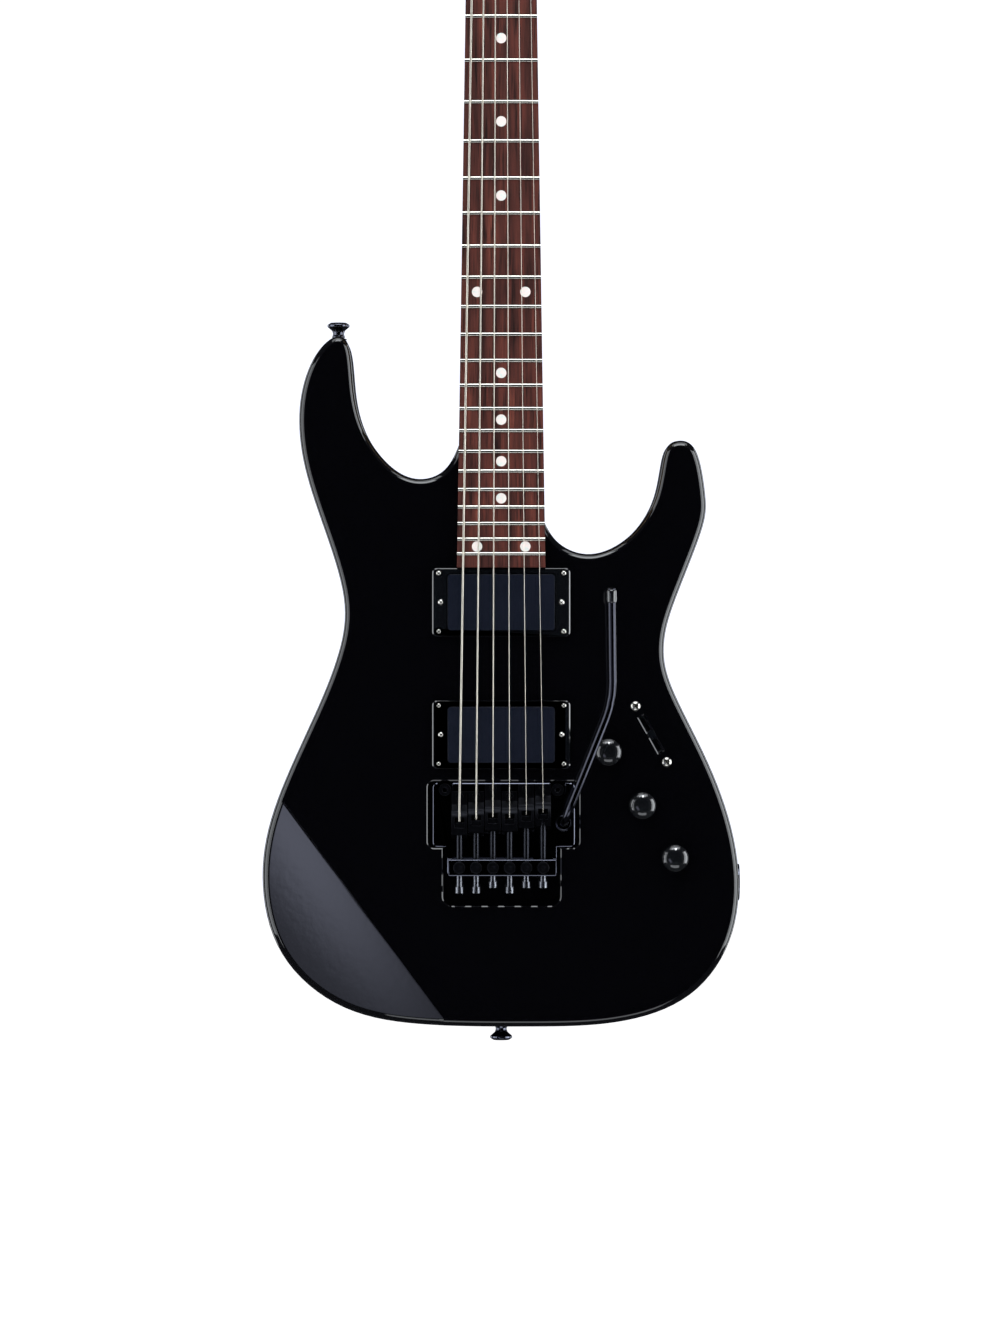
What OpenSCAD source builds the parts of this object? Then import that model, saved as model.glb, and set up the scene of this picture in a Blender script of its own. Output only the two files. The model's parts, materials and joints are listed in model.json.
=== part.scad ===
// Electric guitar: double-cutaway bolt-on body, 24-fret neck, two active pickups
// and a recessed double-locking tremolo.
// The neck runs up +Z, the strings face -Y and x = 0 is the centre line.
// The origin is on the neck's gluing plane at the nut, where a hanger's yoke holds it.

/* [Scale and neck] */
// Open string length, nut edge to nominal bridge line
scale_length = 647.7; // [646:0.1:649]
// Number of frets
fret_count = 24; // [22:1:24]
// Width of the neck at the nut
nut_width = 43; // [42:0.1:44]
// Width of the neck at the body end
heel_width = 58; // [57:0.1:59]
// Length of the fretboard from the nut
board_length = 494.6; // [494.4:0.1:495]
// Thickness of the fretboard at its middle
board_thick = 6; // [5:0.5:7]
// Radius of the fretboard's curved top
board_radius = 305; // [250:5:400]
// Neck depth behind the gluing plane, at the nut
depth_nut = 14.5; // [13:0.5:16]
// Neck depth at the twelfth fret
depth_mid = 16; // [15:0.5:18]
// Neck depth at the heel, and depth of its pocket
depth_heel = 19; // [18:0.5:20]
// Backward tilt of the headstock
head_tilt = 10; // [8:1:12]
// Thickness of the headstock
head_thick = 14; // [13:0.5:15]

/* [Body] */
// Front face of the body behind the neck's gluing plane
body_front = 1.5; // [1:0.1:2]
// Thickness of the body
body_thick = 43.5; // [42:0.5:45]
// Slope of the forearm contour
contour_slope = 9.5; // [6:0.5:11]
// Slope of the belly contour at the back
belly_slope = 14; // [8:1:16]

/* [Strings] */
// Spread of the outer strings at the nut
nut_spread = 35; // [34.5:0.1:35.5]
// Spread of the outer strings at the bridge
bridge_spread = 54.8; // [54.5:0.1:55]
// String diameters, low to high
gauges = [1.32, 1.07, 0.76, 0.46, 0.36, 0.28];

/* [Pickups] */
// Height of each pickup's centre line along the neck
pickup_z = [-517.5, -604.3];
// Width and length of a pickup cover
cover_size = [70, 36.5];
// Width and length of a mounting ring
ring_size = [90.4, 44.7];
// Height of a ring over the body
ring_height = 5; // [4:0.5:6]

/* [Tremolo] */
// Height of the hinge line along the neck
pivot_z = -640.5; // [-641:0.5:-640]
// Distance of each stud from the centre line
stud_x = 37; // [36.8:0.1:37.2]
// Baseplate thickness
plate_thick = 2.5; // [2:0.1:2.7]
// Place of the arm's socket, across and along
arm_place = [40.9, -661.9];
// Diameter of the arm
arm_d = 5.2; // [5:0.1:5.3]

/* [Controls] */
// Places of the three knobs, across and along
knob_places = [[70.3, -615.6], [92.6, -650.6], [114, -685]];
// Knob diameter
knob_d = 17.5; // [16:0.5:19]
// Knob height over the body
knob_height = 16; // [14:0.5:17]
// Middle of the blade switch, across and along
switch_place = [98.4, -604];
// Lean of the switch slot from the vertical
switch_lean = 29.2; // [27:0.1:31]

/* [Hidden] */
$fn = 64;
fine = 1440;

// ---- Derived sizes ----
body_back = body_front + body_thick;
string_at = [for (i = [0:5]) i - 2.5];
nut_x = [for (s = string_at) s * nut_spread / 5];
bridge_x = [for (s = string_at) s * bridge_spread / 5];
// Undersides of the strings at the nut and at the bridge, on the centre line
string_nut_y = -7.5;
string_bridge_y = -9.8;
// Each saddle's distance behind the nominal bridge line
saddle_set = [8, 6.5, 5, 5.5, 3.5, 2.2];
nose_z = [for (s = saddle_set) -scale_length - s];
// Mounting screw of each saddle: rear or front of its two threaded holes
saddle_hole_z = [-645, -645, -640, -645, -640, -640];
lock_screw_end_z = [-708, -708, -704.5, -708, -704.5, -704.5];
lock_screw_y = -4.2;
tuner_z = -691;
tuner_bar = [-12.8, -8.6];
tail_z = -697;
recess_floor = 12.5;
cavity_floor = 6;
spring_floor = 27;
pickup_floor = 20;
cover_thick = 2;
rear_plate_thick = 1.6;
ring_screw_at = [for (x = [-41, 41], s = [-19.1, 19.1]) [x, s]];
height_screw_x = 39.5;
claw_screw_x = 20;
claw_screw_y = 36;
plate_y = [body_front, body_front + plate_thick];
stud_r = 4;
block_y = [plate_y[1], 38];
block_z = [-660.5, -646.5];
jack_z = -702;
jack_y = 24;
jack_face_x = 155.6;
upper_button = [-107.5, -342.5];
lower_button_z = -796.3;
head_y = 1;
head_z = 16;
row_start = [nut_x[0] - 3.2, 34];
row_pitch = 25;
row_lean = atan((nut_spread / 5) / row_pitch);
post_at = [for (i = [0:5]) row_start + i * [nut_spread / 5, row_pitch]];
knob_top = body_front - knob_height;
plate_screws = [for (x = [-19, 19], z = [-481.5, -430.5]) [x, z]];
control_hollow = [
    [54, -612], [79, -576], [96, -575], [121, -620], [134, -668], [136, -708],
    [124, -722], [62, -722], [54, -714]
];
spring_hollow = [[-33, -690], [33, -690], [33, -541], [-33, -541]];
control_screws = [[64, -592.3], [111.1, -596], [137.3, -675.4], [132.3, -717], [93, -725], [51, -668]];
spring_screws = [for (x = [-37, 37], z = [-693, -617, -538]) [x, z]];
truss_screws = [[0, 34.5], [-8, 7], [8, 7]];

// Rim of the body, clockwise from the neck's bass side to its treble side
rim = [
    [-27, -412], [-37, -430], [-54, -436.3], [-72, -428.5], [-88, -408], [-96, -381],
    [-99, -353], [-107.5, -342.5], [-122, -355], [-132, -385], [-130, -424], [-117, -467],
    [-103.5, -514], [-107, -551], [-122.5, -591], [-147, -647], [-157.2, -698], [-144.5, -749],
    [-103, -784.5], [-46, -795.2], [20, -796.3], [76, -793.3], [124, -775.3], [152, -734],
    [154.2, -680], [136, -623], [112, -573], [107, -544], [114, -516.5], [131, -472],
    [134, -446], [128, -418], [116, -411.2], [107, -420], [101, -448], [84, -474],
    [59, -485.6], [38, -478.5], [28, -464]
];
// End of the body behind the neck, hidden from the front by the neck
heel_end = [[27, -446], [26, -425], [20, -418], [-18, -411]];
// Ends of the forearm contour's crease, and the hinge line and turn of the belly contour
crease = [[-146, -646], [-39.6, -792.6]];
belly_hinge = [-62, -520];
belly_turn = 8;
// Headstock, across and along, in its own tilted plane
head_rim = [
    [21.5, -4], [21.5, 2], [25.5, 14], [26.5, 40], [28.5, 100], [31.5, 160], [33, 186],
    [27, 193], [17, 187], [9.5, 178], [-27, 46], [-32.5, 27], [-29.5, 15], [-22, 6],
    [-21.5, -4]
];

// ---- Curves ----
// Control points of a cubic spline that runs through every point of q
function relax(q, p, n) = n == 0 ? p : relax(q, [
    for (i = [0:len(q) - 1]) i == 0 || i == len(q) - 1 ? q[i] : (6 * q[i] - p[i - 1] - p[i + 1]) / 4
], n - 1);
function spline_point(a, b, c, d, t) =
    ((1 - t)^3 * a + (3 * t^3 - 6 * t^2 + 4) * b + (-3 * t^3 + 3 * t^2 + 3 * t + 1) * c + t^3 * d) / 6;
function spline(q, steps) = let (
    k = relax(q, q, 24),
    n = len(q),
    p = concat([2 * k[0] - k[1]], k, [2 * k[n - 1] - k[n - 2]])
) concat(
    [for (i = [0:n - 2], s = [0:steps - 1]) spline_point(p[i], p[i + 1], p[i + 2], p[i + 3], s / steps)],
    [q[n - 1]]
);
function ease(t) = let (u = min(1, max(0, t))) u * u * (3 - 2 * u);
function mix(a, b, t) = a + (b - a) * t;

// ---- Neck measures ----
function half_width(z) = mix(nut_width, heel_width, -z / board_length) / 2;
function fret_z(n) = -scale_length * (1 - 2^(-n / 12));
function crown_drop(x) = board_radius - sqrt(board_radius^2 - x^2);
function nut_point(i) = [nut_x[i], string_nut_y + crown_drop(nut_x[i]) - gauges[i] / 2, 0];
function bridge_point(i) =
    [bridge_x[i], string_bridge_y + crown_drop(bridge_x[i]) - gauges[i] / 2, nose_z[i]];
// A point of the tilted headstock frame, in the guitar's frame
function head_point(p) = [
    p[0],
    head_y + p[1] * cos(head_tilt) + p[2] * sin(head_tilt),
    head_z - p[1] * sin(head_tilt) + p[2] * cos(head_tilt)
];

// ---- Building blocks ----
// A flat shape drawn in X and Z, between two depths
module slab(y) {
    translate([0, y[1], 0])
        rotate([90, 0, 0])
            linear_extrude(y[1] - y[0])
                children();
}
// A flat shape drawn in Y and Z, between two places across
module across(x) {
    translate([x[0], 0, 0])
        rotate([90, 0, 90])
            linear_extrude(x[1] - x[0])
                children();
}
module box(x, y, z) {
    translate([x[0], y[0], z[0]])
        cube([x[1] - x[0], y[1] - y[0], z[1] - z[0]]);
}
// A round pin along Y, at a place across and along
module pin(at, y, r) {
    translate([at[0], y[0], at[1]])
        rotate([-90, 0, 0])
            cylinder(r = r, h = y[1] - y[0]);
}
module rod(a, b, r) {
    v = b - a;
    translate(a)
        rotate([0, acos(v[2] / norm(v)), atan2(v[1], v[0])])
            cylinder(r = r, h = norm(v));
}
module rounded(x, z, r) {
    translate([(x[0] + x[1]) / 2, (z[0] + z[1]) / 2])
        offset(r = r, $fn = 48)
            square([x[1] - x[0] - 2 * r, z[1] - z[0] - 2 * r], center = true);
}
// A skin over rings of equal count, closed by a flat cap at each end
module loft(rings) {
    n = len(rings[0]);
    m = len(rings);
    sides = [
        for (i = [0:m - 2], j = [0:n - 1]) let (k = (j + 1) % n)
            each [[i * n + j, (i + 1) * n + k, i * n + k], [i * n + j, (i + 1) * n + j, (i + 1) * n + k]]
    ];
    caps = [[for (j = [0:n - 1]) j], [for (j = [n - 1:-1:0]) (m - 1) * n + j]];
    polyhedron([for (r = rings) each r], concat(sides, caps));
}
module on_headstock() {
    translate([0, head_y, head_z])
        rotate([-head_tilt, 0, 0])
            children();
}
// Frame of one tuner: post along Y, worm shaft along -X, its row along Z
module on_tuner(i) {
    on_headstock()
        translate([post_at[i][0], 0, post_at[i][1]])
            rotate([0, row_lean, 0])
                children();
}
module on_switch() {
    translate([switch_place[0], 0, switch_place[1]])
        rotate([0, -switch_lean, 0])
            children();
}
// ---- Body ----
module body() {
    color("#0b0c10") difference() {
        slab([body_front, body_back])
            polygon(concat(spline(rim, 8), heel_end));
        forearm_contour();
        belly_contour();
        neck_pocket();
        pickup_hollows();
        tremolo_hollows();
        slab([cavity_floor, body_back + 1])
            polygon(control_hollow);
        control_holes();
        for (p = plate_screws)
            pin(p, [depth_heel - 1, body_back + 1], 2.5);
        for (p = control_screws)
            pin(p, [body_back - 12, body_back + 1], 1.5);
        for (p = spring_screws)
            pin(p, [body_back - 12, body_back + 1], 1.5);
        strap_screw_holes();
    }
}
// Flat forearm contour, falling away from a straight crease across the lower bout
module forearm_contour() {
    run = crease[1] - crease[0];
    translate([crease[0][0], body_front, crease[0][1]])
        rotate([0, atan2(-run[1], run[0]), 0])
            rotate([contour_slope, 0, 0])
                translate([-60, -60, -120])
                    cube([320, 60, 120]);
}
// Flat belly contour on the back of the bass-side waist
module belly_contour() {
    translate([belly_hinge[0], body_back, belly_hinge[1]])
        rotate([0, -belly_turn, 0])
            rotate([0, 0, -belly_slope])
                translate([-130, 0, -110])
                    cube([130, 60, 190]);
}
module neck_pocket() {
    z_end = -board_length;
    z_top = -400;
    slab([body_front - 1, depth_heel])
        polygon([
            [-half_width(z_end), z_end], [half_width(z_end), z_end],
            [half_width(z_top), z_top], [-half_width(z_top), z_top]
        ]);
}
module pickup_hollows() {
    for (z = pickup_z) {
        box([-36.5, 36.5], [body_front - 1, pickup_floor], [z - 19.5, z + 19.5]);
        box([-43, 43], [body_front - 1, pickup_floor], [z - 8, z + 8]);
        for (p = ring_screw_at)
            pin([p[0], z + p[1]], [body_front - 1, 14], 1.2);
    }
}
module tremolo_hollows() {
    slab([body_front - 1, recess_floor]) {
        rounded([-48, 51], [-678.5, -635], 4);
        rounded([-38, 38.6], [-716.4, -640], 6);
    }
    box([-30, 30], [recess_floor - 1, spring_floor + 1], [-673, pivot_z]);
    slab([spring_floor, body_back + 1])
        polygon(spring_hollow);
    for (x = [-stud_x, stud_x])
        pin([x, pivot_z], [recess_floor - 1, 34], 5.5);
    for (x = [-claw_screw_x, claw_screw_x])
        translate([x, claw_screw_y, -542])
            cylinder(r = 2, h = 24);
}
module control_holes() {
    for (p = knob_places)
        pin(p, [body_front - 1, cavity_floor + 1], 4);
    on_switch() {
        box([-1.7, 1.7], [body_front - 1, cavity_floor + 1], [-13, 13]);
        for (s = [-21, 21])
            pin([0, s], [body_front - 1, cavity_floor + 1], 1.7);
    }
    translate([130, jack_y, jack_z])
        rotate([0, 90, 0])
            cylinder(r = 9.5, h = 38);
    translate([jack_face_x, jack_y, jack_z])
        rotate([0, 90, 0])
            cylinder(r = 12.2, h = 10);
}
module strap_screw_holes() {
    mid = (body_front + body_back) / 2;
    translate([upper_button[0], mid, upper_button[1] - 24])
        cylinder(r = 2, h = 40);
    translate([0, mid, lower_button_z - 10])
        cylinder(r = 2, h = 34);
}

// ---- Neck ----
// Section of the neck behind the gluing plane: round in the hand, square at the heel
function neck_ring(z) = let (
    steps = 22,
    power = mix(2.3, 9, ease((-388 - z) / 40)),
    w = half_width(z),
    d = z > fret_z(12) ? mix(depth_nut, depth_mid, z / fret_z(12))
        : mix(depth_mid, depth_heel, ease((fret_z(12) - z) / 90))
) [for (j = [0:steps]) let (a = 180 * j / steps, c = cos(a), s = max(0, sin(a)))
    [w * sign(c) * abs(c)^(2 / power), d * s^(2 / power), z]];
module neck() {
    z_end = -board_length;
    z_heel = -426;
    stations = concat([-428, -424, -420, -414, -408, -402, -396, -388, -376, -360, -340],
        [for (z = [-310:30:-10]) z], [0, 15.9]);
    color("#16130f") difference() {
        union() {
            loft([for (z = stations) neck_ring(z)]);
            slab([0, depth_heel])
                polygon([
                    [-half_width(z_end), z_end], [half_width(z_end), z_end],
                    [half_width(z_heel), z_heel], [-half_width(z_heel), z_heel]
                ]);
            on_headstock()
                slab([0, head_thick])
                    offset(r = 2.5)
                        offset(delta = -2.5)
                            polygon(head_rim);
        }
        box([-3.2, 3.2], [-1, 9.2], [-468, 20]);
        on_headstock()
            box([-5.5, 5.5], [-2, 9.5], [-4, 28]);
        for (i = [0:5])
            on_tuner(i)
                pin([0, 0], [-1, head_thick + 1], 5);
        on_headstock() {
            for (p = truss_screws)
                pin(p, [-1, 8], 1);
            for (x = [-21, 21])
                pin([x, 10], [-1, 9], 1.5);
        }
        for (p = plate_screws)
            pin(p, [5, depth_heel + 1], 2.2);
    }
}
module board_blank() {
    z_end = -board_length;
    intersection() {
        slab([-board_thick - 1, 0])
            polygon([
                [-half_width(z_end), z_end], [half_width(z_end), z_end],
                [half_width(0), 0], [-half_width(0), 0]
            ]);
        translate([0, board_radius - board_thick, z_end - 1])
            cylinder(r = board_radius, h = board_length + 2, $fn = fine);
    }
}
// A curved strip that follows the fretboard's top at fret n
module fret_strip(n, profile, ends) {
    z = fret_z(n);
    a = asin(half_width(z) / board_radius) + ends;
    translate([0, board_radius - board_thick, z])
        rotate_extrude(angle = 2 * a, start = -90 - a, $fn = fine)
            polygon(profile);
}
fret_tang = [[-2.2, -0.3], [0, -0.3], [0, 0.3], [-2.2, 0.3]];
fret_crown = [for (a = [0:15:180]) [1.15 * sin(a), 1.3 * cos(a)]];
module fretboard() {
    color("#5a2a20") difference() {
        board_blank();
        for (n = [1:fret_count])
            fret_strip(n, [for (p = fret_tang) [board_radius + p[0] + (p[0] == 0 ? 1 : 0), p[1]]], 0.3);
        inlay_pins();
        side_dots(0.05);
    }
}
module frets() {
    color("#c9c9c4")
        for (n = [1:fret_count]) {
            fret_strip(n, [for (p = fret_crown) [board_radius + p[0], p[1]]], -0.02);
            fret_strip(n, [for (p = fret_tang) [board_radius + p[0], p[1]]], -0.02);
        }
}
single_inlays = [3, 5, 7, 9, 15, 17, 19, 21];
double_inlays = [12, 24];
function inlay_z(n) = (fret_z(n - 1) + fret_z(n)) / 2;
module inlay_pins() {
    for (n = single_inlays)
        pin([0, inlay_z(n)], [-board_thick - 1, -board_thick + 1.8], 3.4);
    for (n = double_inlays, x = [-15.8, 15.8])
        pin([x, inlay_z(n)], [-board_thick - 1, -board_thick + 1.8], 3.4);
}
module side_dots(extra) {
    for (n = concat(single_inlays, double_inlays))
        translate([-half_width(inlay_z(n)) - extra, -2.6, inlay_z(n)])
            rotate([0, 90, 0])
                cylinder(r = 1, h = 1.2 + extra, $fn = 24);
}
module inlays() {
    color("#e6e9e2") {
        intersection() {
            inlay_pins();
            board_blank();
        }
        side_dots(-0.05);
    }
}
module truss_rod() {
    color("#8d8f92") {
        translate([0, 6.3, -465])
            cylinder(r = 2.5, h = 484);
        difference() {
            translate([0, 6.3, 17])
                cylinder(r = 2.9, h = 10);
            translate([0, 6.3, 20])
                cylinder(r = 2, h = 8, $fn = 6);
        }
    }
}
module truss_rod_cover() {
    color("#15161a") on_headstock() difference() {
        slab([-1.8, 0])
            hull() {
                translate([-8, 7]) circle(r = 3.6);
                translate([8, 7]) circle(r = 3.6);
                translate([0, 35]) circle(r = 5);
            }
        for (p = truss_screws)
            pin(p, [-2, 1], 1);
    }
}

// ---- Locking nut and string retainer ----
module nut_base() {
    color("#17181c") difference() {
        across([-nut_width / 2, nut_width / 2])
            polygon([[0, 0], [-7.0, 0], [-7.3, 0.8], [-6.9, 3], [-6.4, 13], [-4.6, 15.5], [0, 15.5]]);
        for (s = [-14, 0, 14])
            pin([s, 8], [-9, 0.5], 1.6);
    }
}
module nut_clamps() {
    color("#17181c") difference() {
        for (s = [-14, 0, 14])
            slab([-12.6, -8.1])
                translate([s, 0])
                    rounded([-6.4, 6.4], [2.2, 13.8], 1);
        for (s = [-14, 0, 14]) {
            pin([s, 8], [-13, -8], 1.6);
            pin([s, 8], [-13, -10], 2.9);
        }
    }
}
module nut_clamp_bolts() {
    color("#2a2b2f")
        for (s = [-14, 0, 14])
            difference() {
                union() {
                    pin([s, 8], [-13, -10], 2.85);
                    pin([s, 8], [-10.1, 0], 1.6);
                }
                translate([s, -11, 8])
                    rotate([90, 0, 0])
                        cylinder(r = 1.7, h = 4, $fn = 6);
            }
}
module string_retainer() {
    color("#17181c") on_headstock() {
        difference() {
            union() {
                translate([-24, -8.4, 10])
                    rotate([0, 90, 0])
                        cylinder(r = 2.4, h = 48);
                for (x = [-21, 21])
                    pin([x, 10], [-8.4, 0], 2.6);
            }
            for (x = [-21, 21])
                pin([x, 10], [-12, 1], 1.5);
        }
        for (x = [-21, 21]) {
            pin([x, 10], [-10.8, 8.8], 1.5);
            pin([x, 10], [-12.2, -10.7], 2.7);
        }
    }
}

// ---- Tuners ----
worm_y = 20.5;
worm_shift = 6.2;
module tuner_housings() {
    color("#1b1c20")
        for (i = [0:5])
            on_tuner(i)
                difference() {
                    union() {
                        slab([head_thick, 27])
                            rounded([-10.5, 8], [-8, 11.5], 3.5);
                        translate([-10.4, worm_y, worm_shift])
                            rotate([0, -90, 0])
                                cylinder(r = 4.2, h = 3);
                    }
                    pin([0, 0], [head_thick - 1, 24.2], 3.25);
                    translate([-1, worm_y, worm_shift])
                        rotate([0, -90, 0])
                            cylinder(r = 2.45, h = 14);
                }
}
module tuner_bushings() {
    color("#1b1c20")
        for (i = [0:5])
            on_tuner(i)
                difference() {
                    union() {
                        pin([0, 0], [-1.4, 0], 5.8);
                        pin([0, 0], [-1, head_thick], 5);
                    }
                    pin([0, 0], [-2, head_thick + 1], 3.25);
                }
}
string_rest_y = -5.7;
module tuner_post(i) {
    r = gauges[i] / 2;
    color("#2b2c31") on_tuner(i) {
        difference() {
            union() {
                pin([0, 0], [-2, 24], 3.2);
                pin([0, 0], [-7, -1.5], 2.3);
                pin([0, 0], [-9.6, -6.8], 3.2);
            }
            translate([0, string_rest_y, -4])
                cylinder(r = 0.8, h = 8, $fn = 24);
        }
        for (k = [1:2])
            translate([0, string_rest_y + 2.3 * k * r + 0.2, 0])
                rotate([-90, 0, 0])
                    rotate_extrude($fn = 48)
                        translate([2.3 + r * 0.7, 0])
                            circle(r = r, $fn = 24);
    }
}
module tuner_button(i) {
    color("#1b1c20") on_tuner(i) {
        translate([-1.5, worm_y, worm_shift])
            rotate([0, -90, 0])
                cylinder(r = 2.4, h = 21);
        translate([-20, worm_y, worm_shift])
            rotate([0, -90, 0])
                cylinder(r = 3.4, h = 3);
        translate([-22, worm_y, worm_shift])
            rotate([0, -90, 0])
                linear_extrude(12.5)
                    hull() {
                        translate([-3.5, 0]) circle(r = 4);
                        translate([3.5, 0]) circle(r = 4);
                    }
    }
}

// ---- Pickups ----
module pickup_rings() {
    color("#101114")
        for (z = pickup_z)
            difference() {
                slab([body_front - ring_height, body_front])
                    translate([0, z])
                        difference() {
                            rounded([-ring_size[0] / 2, ring_size[0] / 2],
                                [-ring_size[1] / 2, ring_size[1] / 2], 3);
                            rounded([-cover_size[0] / 2 - 0.5, cover_size[0] / 2 + 0.5],
                                [-cover_size[1] / 2 - 0.5, cover_size[1] / 2 + 0.5], 2);
                        }
                for (p = ring_screw_at) {
                    pin([p[0], z + p[1]], [-5, 2], 1.2);
                    pin([p[0], z + p[1]], [-5, -1.5], 2.2);
                }
                for (x = [-height_screw_x, height_screw_x])
                    pin([x, z], [-5, 2], 1.5);
            }
}
module pickup(z) {
    color("#1d212e") {
        slab([-6.8, 12])
            rounded([-cover_size[0] / 2, cover_size[0] / 2],
                [z - cover_size[1] / 2, z + cover_size[1] / 2], 2);
        difference() {
            box([-42.5, 42.5], [10, 11.5], [z - 5, z + 5]);
            for (x = [-height_screw_x, height_screw_x])
                pin([x, z], [9, 13], 1.5);
        }
    }
}
module pickup_neck() {
    pickup(pickup_z[0]);
}
module pickup_bridge() {
    pickup(pickup_z[1]);
}
module pickup_screws() {
    color("#8b8d92")
        for (z = pickup_z) {
            for (p = ring_screw_at) {
                pin([p[0], z + p[1]], [-3.9, -1.5], 2.2);
                pin([p[0], z + p[1]], [-1.6, 14], 1.2);
            }
            for (x = [-height_screw_x, height_screw_x]) {
                pin([x, z], [-3.6, 16], 1.5);
                pin([x, z], [-4.8, -3.5], 2.4);
            }
        }
}

// ---- Tremolo ----
module tremolo_baseplate() {
    color("#121317") difference() {
        union() {
            slab(plate_y)
                rounded([-45, 48.4], [-678, -636], 3);
            slab(plate_y)
                rounded([-35.5, 36.5], [tail_z, -670], 3);
            box([-34.6, 36], tuner_bar, [tail_z + 0.5, -685.8]);
            for (x = [[-34.6, -32.6], [34, 36]])
                box(x, [tuner_bar[0], plate_y[1]], [tail_z + 0.5, -685.8]);
            pin(arm_place, [plate_y[0], 8.5], 4.6);
        }
        for (s = [-1, 1]) {
            pin([s * stud_x, pivot_z], [-2, 6], stud_r + 0.9);
            box([s * stud_x - stud_r - 0.9, s * stud_x + stud_r + 0.9], [-2, 6], [pivot_z, -630]);
        }
        for (i = [0:5]) {
            pin([bridge_x[i], tuner_z], [tuner_bar[0] - 1, tuner_bar[1] + 1], 2.05);
            pin([bridge_x[i], saddle_hole_z[i]], [0, 5], 1.4);
        }
        pin(arm_place, [-3, 7.5], arm_d / 2 + 0.05);
    }
}
module tremolo_block() {
    color("#6f7175") difference() {
        box([-28, 28], block_y, block_z);
        for (x = [-16, 0, 16])
            translate([x, 33.5, block_z[1] - 5])
                cylinder(r = 1.2, h = 6, $fn = 24);
    }
}
module saddle(i) {
    p = bridge_point(i);
    y = p[1];
    z = p[2];
    r = gauges[i] / 2;
    foot_z = saddle_hole_z[i] + 3.4;
    difference() {
        across([p[0] - 5.1, p[0] + 5.1])
            polygon([
                [body_front, foot_z], [-1.2, foot_z], [-1.2, z + 5.5], [y + 4.5, z + 3.4],
                [y + r + 0.6, z + 1.2], [y + r + 0.2, z], [y + 2.2, z - 2.8], [y + 2.8, z - 14],
                [-3, z - 16.5], [body_front, z - 16.5]
            ]);
        box([p[0] - 3.3, p[0] + 3.3], [y - 1, -0.8], [z - 9.6, z - 2.8]);
        translate([p[0], lock_screw_y, z - 18])
            cylinder(r = 1.98, h = 10);
        pin([p[0], saddle_hole_z[i]], [-3, 3], 1.4);
    }
}
module saddles() {
    color("#131418")
        for (i = [0:5])
            saddle(i);
}
module string_clamp_blocks() {
    color("#3a3b40")
        for (i = [0:5]) {
            p = bridge_point(i);
            box([p[0] - 3.1, p[0] + 3.1], [p[1] + 2.9, -1], [p[2] - 9.5, p[2] - 6.2]);
        }
}
module string_lock_screws() {
    color("#55575c")
        for (i = [0:5]) {
            p = bridge_point(i);
            end_z = lock_screw_end_z[i];
            difference() {
                union() {
                    translate([p[0], lock_screw_y, end_z + 1])
                        cylinder(r = 1.95, h = p[2] - 9.5 - end_z - 1);
                    translate([p[0], lock_screw_y, end_z])
                        cylinder(r = 2.85, h = 4);
                }
                translate([p[0], lock_screw_y, end_z - 1])
                    cylinder(r = 1.7, h = 3.4, $fn = 6);
            }
        }
}
module saddle_screws() {
    color("#2a2b2f")
        for (i = [0:5])
            difference() {
                union() {
                    pin([bridge_x[i], saddle_hole_z[i]], [-4, -1.2], 2.6);
                    pin([bridge_x[i], saddle_hole_z[i]], [-1.3, plate_y[1]], 1.4);
                }
                translate([bridge_x[i], -2.4, saddle_hole_z[i]])
                    rotate([90, 0, 0])
                        cylinder(r = 1.5, h = 3, $fn = 6);
            }
}
module fine_tuner(i) {
    color("#17181c") {
        pin([bridge_x[i], tuner_z], [-18.8, tuner_bar[0] - 0.4], 4);
        pin([bridge_x[i], tuner_z], [tuner_bar[0] - 0.5, -6.5], 1.98);
    }
}
// Middle line of the arm: out of its socket, over the volume knob, up to the tip
arm_line = [[arm_place[0], -25], [72.5, -31], [71.3, -47]];
arm_z = [arm_place[1], -582.5, -508.9];
module tremolo_arm() {
    points = [for (k = [0:2]) [arm_line[k][0], arm_line[k][1], arm_z[k]]];
    color("#1c1d21") {
        pin(arm_place, [points[0][1], 7.3], arm_d / 2);
        for (k = [0:1]) {
            rod(points[k], points[k + 1], arm_d / 2);
            translate(points[k])
                sphere(r = arm_d / 2 + 0.03);
        }
        tip = mix(points[1], points[2], 0.88);
        rod(tip, points[2], 3.4);
    }
}
module arm_collar() {
    color("#17181c") difference() {
        union() {
            pin(arm_place, [-4, body_front], 5.5);
            pin(arm_place, [-7, -3.9], 4.6);
        }
        pin(arm_place, [-8, 2], arm_d / 2 + 0.05);
    }
}
module tremolo_studs() {
    color("#2a2b2f")
        for (x = [-stud_x, stud_x]) {
            difference() {
                pin([x, pivot_z], [-0.6, 30], stud_r);
                translate([x, 1.6, pivot_z])
                    rotate([90, 0, 0])
                        cylinder(r = 1.8, h = 4, $fn = 6);
            }
            difference() {
                pin([x, pivot_z], [recess_floor, 33.9], 5.5);
                pin([x, pivot_z], [recess_floor - 1, 30], stud_r);
            }
        }
}
spring_x = [-16, 0, 16];
spring_y = 33.5;
module tremolo_springs() {
    color("#b4b6ba")
        for (x = spring_x) {
            translate([x, spring_y, -637])
                cylinder(r = 4, h = 70);
            translate([x, spring_y, block_z[1] + 0.3])
                cylinder(r = 0.7, h = -637 - block_z[1] - 0.3, $fn = 24);
            translate([x, spring_y, -567])
                cylinder(r = 0.7, h = 10.5, $fn = 24);
        }
}
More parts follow.
